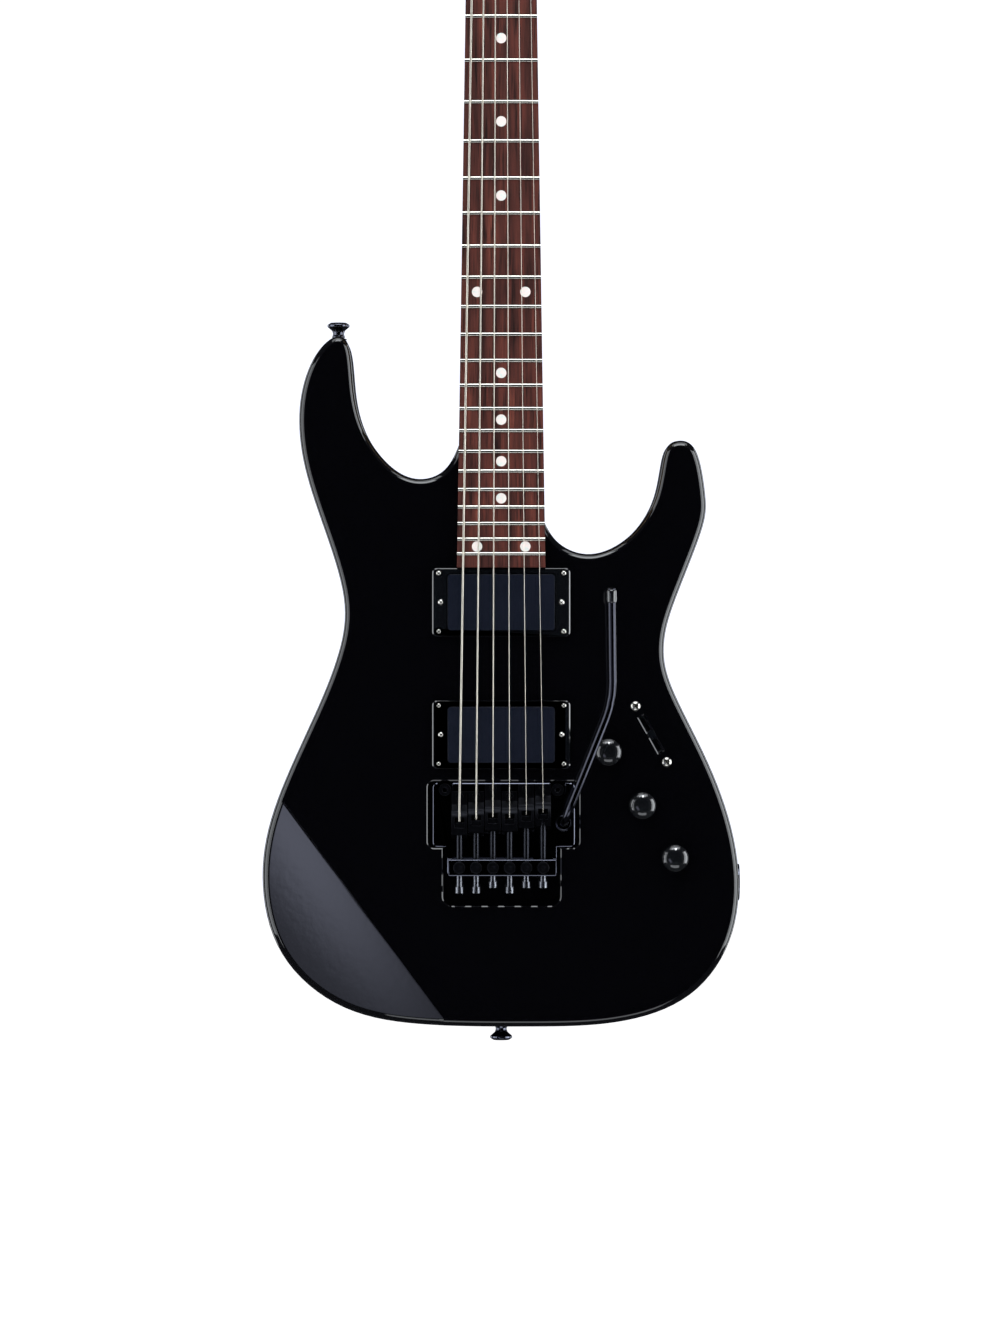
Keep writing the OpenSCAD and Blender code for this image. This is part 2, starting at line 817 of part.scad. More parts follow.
module spring_claw() {
    color("#9a9ca0") {
        difference() {
            union() {
                box([-30, 30], [28, 40], [-554.5, -552.5]);
                box([-30, 30], [38.5, 40], [-562, -552.5]);
            }
            for (x = [-claw_screw_x, claw_screw_x])
                translate([x, claw_screw_y, -556])
                    cylinder(r = 2, h = 6);
            for (x = spring_x)
                translate([x, spring_y, -556])
                    cylinder(r = 0.7, h = 6, $fn = 24);
        }
        for (x = [-claw_screw_x, claw_screw_x]) {
            translate([x, claw_screw_y, -558.5])
                cylinder(r = 3.6, h = 4);
            translate([x, claw_screw_y, -555])
                cylinder(r = 2, h = 36);
        }
    }
}

// ---- Controls ----
module knob(i) {
    p = knob_places[i];
    color("#0f1013") {
        difference() {
            union() {
                pin(p, [knob_top + 1.5, body_front - 1], knob_d / 2);
                pin(p, [knob_top, knob_top + 2], knob_d / 2 - 1.5);
            }
            pin(p, [-5, body_front], 6.6);
            pin([p[0], p[1] + 5.6], [knob_top - 1, knob_top + 0.8], 0.9);
        }
        pin(p, [knob_top + 4, 16], 3);
    }
}
module potentiometers() {
    color("#a9abae")
        for (p = knob_places)
            difference() {
                union() {
                    pin(p, [cavity_floor, 18], 12);
                    pin(p, [-4, cavity_floor + 1], 3.9);
                    pin(p, [-0.9, body_front], 6);
                }
                pin(p, [-5, 16.3], 3.06);
            }
}
lever_y = 20;
module switch_body() {
    color("#c2c4c7") on_switch() {
        difference() {
            union() {
                box([-6.5, 6.5], [cavity_floor, 7.6], [-26, 26]);
                box([-5, 5], [7.5, 30], [-20, 20]);
            }
            box([-1.2, 1.2], [cavity_floor - 1, 25], [-12, 12]);
        }
        pin_x = [-4, 4];
        translate([pin_x[0], lever_y, 0])
            rotate([0, 90, 0])
                cylinder(r = 1, h = pin_x[1] - pin_x[0]);
        for (s = [-21, 21]) {
            pin([0, s], [body_front, cavity_floor + 0.5], 1.65);
            pin([0, s], [0.2, body_front], 3.3);
        }
    }
}
module switch_lever() {
    color("#111215") on_switch() difference() {
        union() {
            box([-0.8, 0.8], [-6, lever_y], [-1.6, 1.6]);
            translate([-0.8, lever_y, 0])
                rotate([0, 90, 0])
                    cylinder(r = 3, h = 1.6);
            slab([-11, -2])
                rounded([-2.2, 2.2], [-3.2, 3.2], 1.5);
        }
        translate([-2, lever_y, 0])
            rotate([0, 90, 0])
                cylinder(r = 1.06, h = 4);
    }
}
module output_jack() {
    color("#22242a") translate([0, jack_y, jack_z]) rotate([0, 90, 0]) difference() {
        union() {
            translate([0, 0, jack_face_x])
                cylinder(r = 12, h = 1.6);
            translate([0, 0, 128])
                cylinder(r = 9.4, h = jack_face_x - 127);
        }
        translate([0, 0, 132])
            cylinder(r = 3.25, h = 40);
    }
}
module battery() {
    color("#2c2f36") {
        slab([cavity_floor, 23.5])
            rounded([60, 86.5], [-712, -666], 2.5);
        for (x = [67, 79.5])
            translate([x, 14.7, -666.5])
                cylinder(r = 3, h = 3);
    }
}
module control_cover() {
    color("#0d0e11") difference() {
        slab([body_back, body_back + cover_thick])
            offset(r = 7, $fn = 48)
                offset(delta = -1)
                    polygon(control_hollow);
        for (p = control_screws)
            pin(p, [body_back - 1, body_back + 3], 1.5);
    }
}
module spring_cover() {
    color("#0d0e11") difference() {
        slab([body_back, body_back + cover_thick])
            difference() {
                rounded([-41, 41], [-697, -534], 4);
                rounded([-28, 28], [-676, -642], 3);
            }
        for (p = spring_screws)
            pin(p, [body_back - 1, body_back + 3], 1.5);
    }
}
module small_screws() {
    color("#2a2b2f") {
        for (p = concat(control_screws, spring_screws)) {
            pin(p, [body_back - 11, body_back + cover_thick], 1.5);
            pin(p, [body_back + cover_thick, body_back + cover_thick + 1.2], 2.8);
        }
        on_headstock()
            for (p = truss_screws) {
                pin(p, [-1.8, 7], 1);
                pin(p, [-2.8, -1.8], 1.8);
            }
    }
}
module neck_plate() {
    color("#1b1c20") {
        difference() {
            slab([body_back, body_back + rear_plate_thick])
                rounded([-25.5, 25.5], [-488, -424], 4);
            for (p = plate_screws)
                pin(p, [body_back - 1, body_back + 3], 2.2);
        }
        for (p = plate_screws) {
            pin(p, [5, body_back + rear_plate_thick + 0.1], 2.2);
            pin(p, [body_back + rear_plate_thick, body_back + rear_plate_thick + 1.8], 4.2);
        }
    }
}
module strap_button() {
    rotate_extrude()
        polygon([[0, 0], [4.4, 0], [3.6, 2.6], [4.2, 4.6], [7.25, 7.2], [7.25, 8.6], [5.2, 9.9], [0, 9.9]]);
    translate([0, 0, -22])
        cylinder(r = 2, h = 23);
}
module strap_buttons() {
    mid = (body_front + body_back) / 2;
    color("#111216") {
        translate([upper_button[0], mid, upper_button[1]])
            strap_button();
        translate([0, mid, lower_button_z])
            rotate([180, 0, 0])
                strap_button();
    }
}

// ---- Strings ----
// Each string: saddle slot, saddle nose, nut, under the retainer, side of its post
function string_line(i) = let (
    a = nut_point(i),
    b = bridge_point(i),
    rest = [nut_x[i], string_rest_y, 0],
    drop = gauges[i] / 2
) [
    b + [0, 1.3, -5.2],
    b,
    a,
    [a[0], -6.5 - drop / 2, 13],
    head_point([a[0], -6.0 + drop + 0.05, 10]),
    head_point([rest[0], string_rest_y, post_at[i][1]])
];
module strings() {
    color("#c9cbcd")
        for (i = [0:5]) {
            line = string_line(i);
            for (k = [0:len(line) - 2])
                rod(line[k], line[k + 1], gauges[i] / 2);
            for (k = [1:len(line) - 2])
                translate(line[k])
                    sphere(r = gauges[i] / 2 + 0.02);
        }
}

body();
neck();
fretboard();
frets();
inlays();
truss_rod();
truss_rod_cover();
nut_base();
nut_clamps();
nut_clamp_bolts();
string_retainer();
tuner_housings();
tuner_bushings();
tuner_post(0);  // tuner_post_1
tuner_post(1);  // tuner_post_2
tuner_post(2);  // tuner_post_3
tuner_post(3);  // tuner_post_4
tuner_post(4);  // tuner_post_5
tuner_post(5);  // tuner_post_6
tuner_button(0);  // tuner_button_1
tuner_button(1);  // tuner_button_2
tuner_button(2);  // tuner_button_3
tuner_button(3);  // tuner_button_4
tuner_button(4);  // tuner_button_5
tuner_button(5);  // tuner_button_6
pickup_rings();
pickup_neck();
pickup_bridge();
pickup_screws();
tremolo_baseplate();
tremolo_block();
saddles();
string_clamp_blocks();
string_lock_screws();
saddle_screws();
fine_tuner(0);  // fine_tuner_1
fine_tuner(1);  // fine_tuner_2
fine_tuner(2);  // fine_tuner_3
fine_tuner(3);  // fine_tuner_4
fine_tuner(4);  // fine_tuner_5
fine_tuner(5);  // fine_tuner_6
tremolo_arm();
arm_collar();
tremolo_studs();
tremolo_springs();
spring_claw();
knob(0);  // knob_1
knob(1);  // knob_2
knob(2);  // knob_3
potentiometers();
switch_body();
switch_lever();
output_jack();
battery();
control_cover();
spring_cover();
small_screws();
neck_plate();
strap_buttons();
strings();
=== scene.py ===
import json
import math

import bmesh
import bpy
from bpy.props import FloatProperty, PointerProperty, StringProperty
from mathutils import Matrix, Vector
from mathutils.bvhtree import BVHTree


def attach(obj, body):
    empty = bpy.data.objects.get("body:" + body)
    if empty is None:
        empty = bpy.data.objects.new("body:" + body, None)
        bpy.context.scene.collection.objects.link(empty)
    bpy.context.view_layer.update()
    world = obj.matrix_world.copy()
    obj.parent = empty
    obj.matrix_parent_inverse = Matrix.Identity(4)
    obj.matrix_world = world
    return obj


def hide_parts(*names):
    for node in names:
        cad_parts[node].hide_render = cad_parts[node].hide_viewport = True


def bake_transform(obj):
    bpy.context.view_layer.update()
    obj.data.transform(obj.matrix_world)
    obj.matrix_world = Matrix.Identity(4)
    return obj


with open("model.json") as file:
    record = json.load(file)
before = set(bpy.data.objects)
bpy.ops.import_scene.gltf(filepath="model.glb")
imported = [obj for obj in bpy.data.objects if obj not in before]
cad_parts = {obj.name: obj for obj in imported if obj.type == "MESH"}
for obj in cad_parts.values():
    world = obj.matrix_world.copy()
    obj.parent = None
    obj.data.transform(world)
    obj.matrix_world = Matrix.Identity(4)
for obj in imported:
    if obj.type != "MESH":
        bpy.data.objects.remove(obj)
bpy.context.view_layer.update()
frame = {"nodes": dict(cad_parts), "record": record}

bl_info = {
    "name": "Electric Guitar Finish",
    "version": (1, 0, 0),
    "blender": (4, 5, 0),
    "location": "3D View > Sidebar > Guitar",
    "description": "Detailed pieces, finishes and studio for the packed electric guitar",
    "category": "Object",
}

NODES = frame["nodes"]
BODY_OF = {n: b for b, names in frame["record"]["behaviour"]["bodies"].items() for n in names}
MM = 0.001

# ---- Layout shared with the CAD model, in millimetres ----
STRINGS = [i - 2.5 for i in range(6)]
NUT_X = [7.0 * s for s in STRINGS]
BRIDGE_X = [10.96 * s for s in STRINGS]
GAUGES = [1.32, 1.07, 0.76, 0.46, 0.36, 0.28]
NOSE_Z = [-647.7 - s for s in (8, 6.5, 5, 5.5, 3.5, 2.2)]
KNOBS = [(70.3, -615.6), (92.6, -650.6), (114.0, -685.0)]
KNOB_TOP = -14.5
PICKUP_Z = (-517.5, -604.3)
HEAD_TILT = math.radians(10)
ROW_LEAN = math.atan(7 / 25)
HEAD_FRAME = Matrix.Translation((0, 1, 16)) @ Matrix.Rotation(-HEAD_TILT, 4, "X")
POSTS = [(-20.7 + 7 * i, 34 + 25 * i) for i in range(6)]
SWITCH = (98.4, -604)
SWITCH_FRAME = Matrix.Translation((SWITCH[0], 0, SWITCH[1])) @ Matrix.Rotation(math.radians(-29.2), 4, "Y")
ARM_LINE = [(40.9, 7.3, -661.9), (40.9, -25, -661.9), (72.5, -31, -582.5), (71.3, -47, -508.9)]
CONTROL_SCREWS = [(64, -592.3), (111.1, -596), (137.3, -675.4), (132.3, -717), (93, -725), (51, -668)]
SPRING_SCREWS = [(x, z) for x in (-37, 37) for z in (-693, -617, -538)]
PLATE_SCREWS = [(x, z) for x in (-19, 19) for z in (-481.5, -430.5)]
BACK = 45.0
RING_SCREW = (41, 19.1)
HEIGHT_SCREW_X = 39.5
FINE_TUNER_Z = -691
SPRING_AXIS = 33.5
SPRING_X = (-16, 0, 16)
SPRING_COIL = (-637, -567)
WAIST_R = 2.3
WRAP_START = -5.6
FRONT_EDGE = 1.6
CROWN = 305

# ---- Lathe profiles, (radius, depth) pairs from one end of the axis to the other ----
POST_PROFILE = [
    (0, 24), (3.0, 24), (3.2, 23.8), (3.2, -1.4), (2.9, -1.7), (WAIST_R, -2.1), (WAIST_R, -6.4),
    (2.9, -6.9), (3.2, -7.2), (3.2, -9.0), (2.7, -9.5), (1.2, -9.6), (1.0, -8.6), (0, -8.6)]
RING_SCREW_PROFILE = [
    (0, 17), (1.2, 17), (1.2, 2.2), (2.1, 2.2), (2.2, 1.9), (2.05, 1.3), (1.6, 0.7), (1.0, 0.25), (0, 0)]
SWITCH_SCREW_PROFILE = [
    (0, 6.4), (1.65, 6.4), (1.65, 1.45), (3.3, 1.45), (3.3, 1.2), (3.0, 0.55), (2.3, 0.05), (1.4, -0.25),
    (0, -0.4)]
FINE_TUNER_PROFILE = [
    (0, -6.5), (1.7, -6.5), (1.98, -6.8), (1.98, -13.2), (3.7, -13.2), (4.0, -13.6), (4.0, -17.9),
    (3.6, -18.5), (2.6, -18.8), (1.2, -18.4), (0, -18.3)]
ARM_TIP_PROFILE = [
    (0, 0.05), (1.6, 0.1), (2.7, 0.7), (3.3, 1.8), (3.38, 3), (3.38, 8.2), (3.1, 8.9), (2.66, 9.1),
    (2.66, 7), (0, 7)]
KNOB_SKIRT = [(0, 16), (3.0, 16), (3.0, -5), (6.6, -5), (6.6, 0.5), (8.5, 0.5), (8.75, 0.2)]
KNOB_DOME = [
    (8.75, 4.6), (8.66, 4.0), (8.4, 3.4), (8.0, 2.85), (7.5, 2.3), (7.0, 1.85), (6.5, 1.5), (6.0, 1.24),
    (5.0, 0.84), (4.0, 0.54), (3.0, 0.3), (2.0, 0.14), (1.0, 0.04), (0, 0.02)]


def tuner_frame(i):
    x, z = POSTS[i]
    return HEAD_FRAME @ Matrix.Translation((x, 0, z)) @ Matrix.Rotation(ROW_LEAN, 4, "Y")


# ---- Mesh helpers, all in millimetres until a piece is finished ----
def cad_copy(node, flat_deg=0.4):
    """The node's own surface, merged and with its flat faces joined up."""
    bm = bmesh.new()
    bm.from_mesh(NODES[node].data)
    bmesh.ops.scale(bm, vec=(1000, 1000, 1000), verts=bm.verts)
    bmesh.ops.remove_doubles(bm, verts=bm.verts, dist=0.002)
    bmesh.ops.dissolve_degenerate(bm, dist=0.001, edges=bm.edges)
    bmesh.ops.dissolve_limit(
        bm, angle_limit=math.radians(flat_deg), use_dissolve_boundaries=False,
        verts=bm.verts, edges=bm.edges, delimit=set())
    return bm


def round_edges(bm, edges, width, segments=3, clamp=True, profile=0.5):
    bmesh.ops.bevel(
        bm, geom=list(edges), offset=width, offset_type="OFFSET", segments=segments,
        profile=profile, affect="EDGES", material=-1, clamp_overlap=clamp)


def corners(bm, angle_deg=35):
    """Edges where the surface turns by more than the angle."""
    limit = math.radians(angle_deg)
    return [e for e in bm.edges if e.is_manifold and e.calc_face_angle(0) > limit]


def turned(bm, profile, at, steps=48):
    """A lathe shape round the local Y axis of the frame at, from (radius, along) pairs."""
    points = [bm.verts.new(at @ Vector((r, y, 0))) for r, y in profile]
    edges = [bm.edges.new(pair) for pair in zip(points, points[1:])]
    made = bmesh.ops.spin(
        bm, geom=points + edges, cent=at.translation, axis=at.to_3x3() @ Vector((0, 1, 0)),
        dvec=(0, 0, 0), angle=2 * math.pi, steps=steps, use_merge=True, use_duplicate=False)
    return made


def tube(bm, points, radius, sides=12):
    """A round wire or bar through the points."""
    points = [Vector(p) for p in points]
    radii = radius if isinstance(radius, (list, tuple)) else [radius] * len(points)
    rings = []
    for k, p in enumerate(points):
        ahead = points[min(k + 1, len(points) - 1)] - points[max(k - 1, 0)]
        turn = ahead.to_track_quat("Z", "Y").to_matrix().to_4x4()
        ring = bmesh.ops.create_circle(
            bm, cap_ends=False, radius=radii[k], segments=sides, matrix=Matrix.Translation(p) @ turn)
        rings.append(list({e for v in ring["verts"] for e in v.link_edges}))
    for a, b in zip(rings, rings[1:]):
        bmesh.ops.bridge_loops(bm, edges=a + b)
    bmesh.ops.holes_fill(bm, edges=rings[0], sides=0)
    bmesh.ops.holes_fill(bm, edges=rings[-1], sides=0)


def rounded_path(points, reach, steps=8):
    """The line through the points with each inner corner eased over reach millimetres."""
    points = [Vector(p) for p in points]
    path = [points[0]]
    for before, corner, after in zip(points, points[1:], points[2:]):
        a = corner + (before - corner).normalized() * reach
        b = corner + (after - corner).normalized() * reach
        for k in range(steps + 1):
            t = k / steps
            path.append(a * (1 - t) ** 2 + corner * 2 * t * (1 - t) + b * t ** 2)
    path.append(points[-1])
    return path


def cross_cutter(bm, at, reach, depth, width=0.9):
    """A cross recess, cut along local +Y from the top of a screw head."""
    for size in ((2 * reach, width), (width, 2 * reach)):
        block = bmesh.ops.create_cube(bm, size=1)["verts"]
        bmesh.ops.scale(bm, vec=(size[0], 2 * depth, size[1]), verts=block)
        for v in block:
            if v.co.y > 0:
                v.co.x *= 0.45
                v.co.z *= 0.45
        bmesh.ops.transform(bm, matrix=at, verts=block)


def carve(bm, cutters):
    """Takes the cutters' shape out of bm, with an exact cut."""
    solids = []
    for mesh_data in (bm, cutters):
        bmesh.ops.recalc_face_normals(mesh_data, faces=mesh_data.faces)
        mesh = bpy.data.meshes.new("carving")
        mesh_data.to_mesh(mesh)
        mesh_data.free()
        solid = bpy.data.objects.new("carving", mesh)
        bpy.context.scene.collection.objects.link(solid)
        solids.append(solid)
    cut = solids[0].modifiers.new("cut", "BOOLEAN")
    cut.operation = "DIFFERENCE"
    cut.solver = "EXACT"
    cut.use_self = True
    cut.object = solids[1]
    left = solids[0].evaluated_get(bpy.context.evaluated_depsgraph_get()).to_mesh()
    result = bmesh.new()
    result.from_mesh(left)
    for solid in solids:
        mesh = solid.data
        bpy.data.objects.remove(solid)
        bpy.data.meshes.remove(mesh)
    bmesh.ops.remove_doubles(result, verts=result.verts, dist=0.001)
    return result


def finish_piece(name, bm, finish, body, stands_for=(), sharp_deg=38, weighted=True, recalc=False):
    """Turns millimetres into metres, shades the piece and hangs it on its body.
    Edges turning by more than sharp_deg stay crisp, and so does a crease between two broad front flats."""
    if recalc:
        bmesh.ops.recalc_face_normals(bm, faces=bm.faces)
    sharp, crease, broad_area = math.radians(sharp_deg), 0.05, 400
    for face in bm.faces:
        face.smooth = True
    broad = {face for face in bm.faces if face.calc_area() > broad_area and face.normal.y < -0.5}
    for edge in bm.edges:
        turn = edge.calc_face_angle(0) if edge.is_manifold else 0
        between_flats = turn > crease and all(face in broad for face in edge.link_faces)
        edge.smooth = not (turn > sharp or between_flats)
    bmesh.ops.scale(bm, vec=(MM, MM, MM), verts=bm.verts)
    mesh = bpy.data.meshes.new(name)
    bm.to_mesh(mesh)
    bm.free()
    mesh.materials.append(bpy.data.materials[finish])
    piece = bpy.data.objects.new(name, mesh)
    bpy.context.scene.collection.objects.link(piece)
    if weighted:
        normals = piece.modifiers.new("flat faces lead", "WEIGHTED_NORMAL")
        normals.keep_sharp = True
    if body:
        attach(piece, body)
    if stands_for:
        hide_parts(*stands_for)
    return piece


def softened(node, finish, width, segments=2, angle_deg=35, cutters=None, profile=0.5, sharp_deg=38,
             clamp=True):
    """The CAD part with its machined or moulded edges rounded over."""
    bm = cad_copy(node)
    if cutters:
        bm = carve(bm, cutters)
    if width:
        round_edges(bm, corners(bm, angle_deg), width, segments, clamp, profile)
    return finish_piece(f"{node}_finished", bm, finish, BODY_OF[node], (node,), sharp_deg)


# ---- Material helpers ----
def linear(hex_colour):
    """An sRGB hex colour as linear RGBA."""
    parts = [int(hex_colour[k:k + 2], 16) / 255 for k in (1, 3, 5)]
    return tuple(p / 12.92 if p <= 0.04045 else ((p + 0.055) / 1.055) ** 2.4 for p in parts) + (1,)


def add(mat, kind, inputs=None, stops=None, **settings):
    """Adds a node, with its settings, its input values or links, and its ramp stops."""
    node = mat.node_tree.nodes.new(kind)
    for key, value in settings.items():
        setattr(node, key, value)
    for key, value in (inputs or {}).items():
        if isinstance(value, bpy.types.NodeSocket):
            mat.node_tree.links.new(value, node.inputs[key])
        else:
            node.inputs[key].default_value = value
    if stops:
        marks = node.color_ramp.elements
        while len(marks) < len(stops):
            marks.new(1)
        for mark, (place, colour) in zip(marks, stops):
            mark.position = place
            mark.color = linear(colour)
    return node


def new_material(name):
    mat = bpy.data.materials.new(name)
    mat.use_nodes = True
    mat.node_tree.nodes.clear()
    return mat


def new_finish(name):
    """An empty material, and the object coordinates for its patterns."""
    mat = new_material(name)
    return mat, add(mat, "ShaderNodeTexCoord").outputs["Object"]


def close_finish(mat, **sockets):
    shader = add(mat, "ShaderNodeBsdfPrincipled", {k.replace("_", " "): v for k, v in sockets.items()})
    add(mat, "ShaderNodeOutputMaterial", {"Surface": shader.outputs[0]})


def per_mm(size):
    """Texture scale whose pattern repeats about every size millimetres."""
    return 1000 / size


def shade_of(colour, share):
    """The hex colour darkened to a share of its value."""
    return "#" + "".join(f"{round(int(colour[k:k + 2], 16) * share):02x}" for k in (1, 3, 5))


def polyester_lacquer(looks):
    # Sprayed and buffed polyester: deep wet black, a faint orange peel, hazy hairlines.
    mat, place = new_finish("black polyester lacquer")
    peel = add(mat, "ShaderNodeTexNoise", {"Vector": place, "Scale": per_mm(6), "Detail": 2})
    wave = add(mat, "ShaderNodeBump", {"Height": peel.outputs[0], "Strength": 0.012, "Distance": 0.001})
    haze = add(mat, "ShaderNodeTexNoise", {"Vector": place, "Scale": per_mm(40), "Detail": 5})
    rough = add(mat, "ShaderNodeMapRange", {"Value": haze.outputs[0], "To Min": 0.30, "To Max": 0.42})
    close_finish(mat, Base_Color=linear(looks.lacquer), Roughness=rough.outputs[0],
                 Specular_IOR_Level=0.0, Coat_Weight=1.0, Coat_Roughness=0.045, Coat_IOR=1.54,
                 Coat_Normal=wave.outputs[0])


def rosewood(looks):
    # Oiled rosewood: red-brown with darker streaks along the neck and open pores.
    mat, place = new_finish("oiled rosewood")
    along = add(mat, "ShaderNodeMapping", {"Vector": place, "Scale": (1, 1, 0.06)})
    streak = add(mat, "ShaderNodeTexNoise",
                 {"Vector": along.outputs[0], "Scale": per_mm(5), "Detail": 6, "Roughness": 0.62})
    brown = add(mat, "ShaderNodeValToRGB", {"Fac": streak.outputs[0]},
                stops=[(0.28, "#140705"), (0.45, looks.rosewood), (0.60, "#431b13"), (0.76, "#613022")])
    grain = add(mat, "ShaderNodeMapping", {"Vector": place, "Scale": (1, 1, 0.035)})
    pore = add(mat, "ShaderNodeTexNoise",
               {"Vector": grain.outputs[0], "Scale": per_mm(0.9), "Detail": 2, "Roughness": 0.5})
    pit = add(mat, "ShaderNodeValToRGB", {"Fac": pore.outputs[0]},
              stops=[(0.34, "#3a2a28"), (0.46, "#ffffff")])
    shade = add(mat, "ShaderNodeMix", {0: 0.75, 6: brown.outputs[0], 7: pit.outputs[0]},
                data_type="RGBA", blend_type="MULTIPLY")
    dip = add(mat, "ShaderNodeBump", {"Height": pore.outputs[0], "Strength": 0.25, "Distance": 0.0002})
    rough = add(mat, "ShaderNodeMapRange", {"Value": streak.outputs[0], "To Min": 0.42, "To Max": 0.62})
    close_finish(mat, Base_Color=shade.outputs[2], Roughness=rough.outputs[0],
                 Specular_IOR_Level=0.25, Normal=dip.outputs[0])


def satin_maple(looks):
    # Satin-lacquered maple: pale amber with fine growth lines; the headstock's face is black.
    mat, place = new_finish("satin maple")
    along = add(mat, "ShaderNodeMapping", {"Vector": place, "Scale": (1, 1, 0.05)})
    rings = add(mat, "ShaderNodeTexNoise",
                {"Vector": along.outputs[0], "Scale": per_mm(7), "Detail": 5, "Roughness": 0.6})
    tone = add(mat, "ShaderNodeValToRGB", {"Fac": rings.outputs[0]},
               stops=[(0.30, "#b98c55"), (0.52, looks.maple), (0.72, "#dfbd8c")])
    fleck = add(mat, "ShaderNodeTexNoise",
                {"Vector": along.outputs[0], "Scale": per_mm(0.8), "Detail": 3})
    dip = add(mat, "ShaderNodeBump", {"Height": fleck.outputs[0], "Strength": 0.10, "Distance": 0.0001})
    # The black face lies on the headstock's front plane, tilted back from the neck.
    face_plane, face_start = 0.0004 - 0.0018, 0.014
    split = add(mat, "ShaderNodeSeparateXYZ", {"Vector": place})
    height, depth = split.outputs["Z"], split.outputs["Y"]
    up = add(mat, "ShaderNodeMath", {0: height, 1: math.sin(HEAD_TILT)}, operation="MULTIPLY")
    out = add(mat, "ShaderNodeMath", {0: depth, 1: math.cos(HEAD_TILT)}, operation="MULTIPLY")
    back = add(mat, "ShaderNodeMath", {0: out.outputs[0], 1: up.outputs[0]}, operation="SUBTRACT")
    face = add(mat, "ShaderNodeMath", {0: back.outputs[0], 1: face_plane}, operation="LESS_THAN")
    high = add(mat, "ShaderNodeMath", {0: height, 1: face_start}, operation="GREATER_THAN")
    mask = add(mat, "ShaderNodeMath", {0: face.outputs[0], 1: high.outputs[0]}, operation="MULTIPLY")
    shade = add(mat, "ShaderNodeMix", {0: mask.outputs[0], 6: tone.outputs[0], 7: linear(looks.lacquer)},
                data_type="RGBA")
    rough = add(mat, "ShaderNodeMapRange", {"Value": mask.outputs[0], "To Min": 0.42, "To Max": 0.08})
    close_finish(mat, Base_Color=shade.outputs[2], Roughness=rough.outputs[0], Normal=dip.outputs[0])


def metal(name, colour, rough_low, rough_high, grit_mm, dent=0.02, stretch=(1, 1, 1)):
    """Bare or plated metal whose polish varies a little over grit_mm."""
    mat, place = new_finish(name)
    lay = add(mat, "ShaderNodeMapping", {"Vector": place, "Scale": stretch})
    grit = add(mat, "ShaderNodeTexNoise",
               {"Vector": lay.outputs[0], "Scale": per_mm(grit_mm), "Detail": 4, "Roughness": 0.6})
    rough = add(mat, "ShaderNodeMapRange",
                {"Value": grit.outputs[0], "To Min": rough_low, "To Max": rough_high})
    dip = add(mat, "ShaderNodeBump", {"Height": grit.outputs[0], "Strength": dent, "Distance": 0.0002})
    tone = add(mat, "ShaderNodeValToRGB", {"Fac": grit.outputs[0]},
               stops=[(0.2, shade_of(colour, 0.88)), (0.8, colour)])
    close_finish(mat, Base_Color=tone.outputs[0], Metallic=1.0, Roughness=rough.outputs[0],
                 Normal=dip.outputs[0])


def plastic(name, colour, rough_low, rough_high, grain_mm, dent, buffed=0.0):
    """Moulded plastic with the fine texture of its mould, buffed to a clear skin or left as moulded."""
    mat, place = new_finish(name)
    grain = add(mat, "ShaderNodeTexNoise",
                {"Vector": place, "Scale": per_mm(grain_mm), "Detail": 3, "Roughness": 0.55})
    sheen = add(mat, "ShaderNodeTexNoise", {"Vector": place, "Scale": per_mm(18), "Detail": 3})
    rough = add(mat, "ShaderNodeMapRange",
                {"Value": sheen.outputs[0], "To Min": rough_low, "To Max": rough_high})
    tone = add(mat, "ShaderNodeValToRGB", {"Fac": sheen.outputs[0]},
               stops=[(0.25, shade_of(colour, 0.85)), (0.75, colour)])
    dip = add(mat, "ShaderNodeBump", {"Height": grain.outputs[0], "Strength": dent, "Distance": 0.0002})
    close_finish(mat, Base_Color=tone.outputs[0], Roughness=rough.outputs[0], IOR=1.5, Normal=dip.outputs[0],
                 Coat_Weight=buffed, Coat_Roughness=0.07, Coat_IOR=1.5)


def pearl(looks):
    # Mother of pearl: milky white with drifting pink and green cloud and a polished face.
    mat, place = new_finish("mother of pearl")
    cloud = add(mat, "ShaderNodeTexNoise",
                {"Vector": place, "Scale": per_mm(2.5), "Detail": 3, "Distortion": 1.2})
    tone = add(mat, "ShaderNodeValToRGB", {"Fac": cloud.outputs[0]},
               stops=[(0.30, "#9fadaa"), (0.45, looks.pearl), (0.60, "#bdaaa6"), (0.75, "#a6b2b8")])
    close_finish(mat, Base_Color=tone.outputs[0], Roughness=0.22, Coat_Weight=0.5, Coat_Roughness=0.08)


def wound_steel(looks):
    # Steel core wrapped in nickel-plated wire: fine ridges across the string, with painted shade darkening
    # the grooves between them.
    # The ridges are the wrap wire's own width apart.
    mat, place = new_finish("nickel wound string")
    wrap = per_mm(0.3) * math.pi / 10
    ridge = add(mat, "ShaderNodeTexWave", {"Vector": place, "Scale": wrap}, bands_direction="Z")
    dip = add(mat, "ShaderNodeBump", {"Height": ridge.outputs[0], "Strength": 0.3, "Distance": 0.00005})
    # Painted shade: the grooves between the wraps are darker than the ridge tops.
    tone = add(mat, "ShaderNodeValToRGB", {"Fac": ridge.outputs[0]},
               stops=[(0.1, "#9a9488"), (0.7, looks.steel)])
    close_finish(mat, Base_Color=tone.outputs[0], Metallic=1.0, Roughness=0.28, Normal=dip.outputs[0])


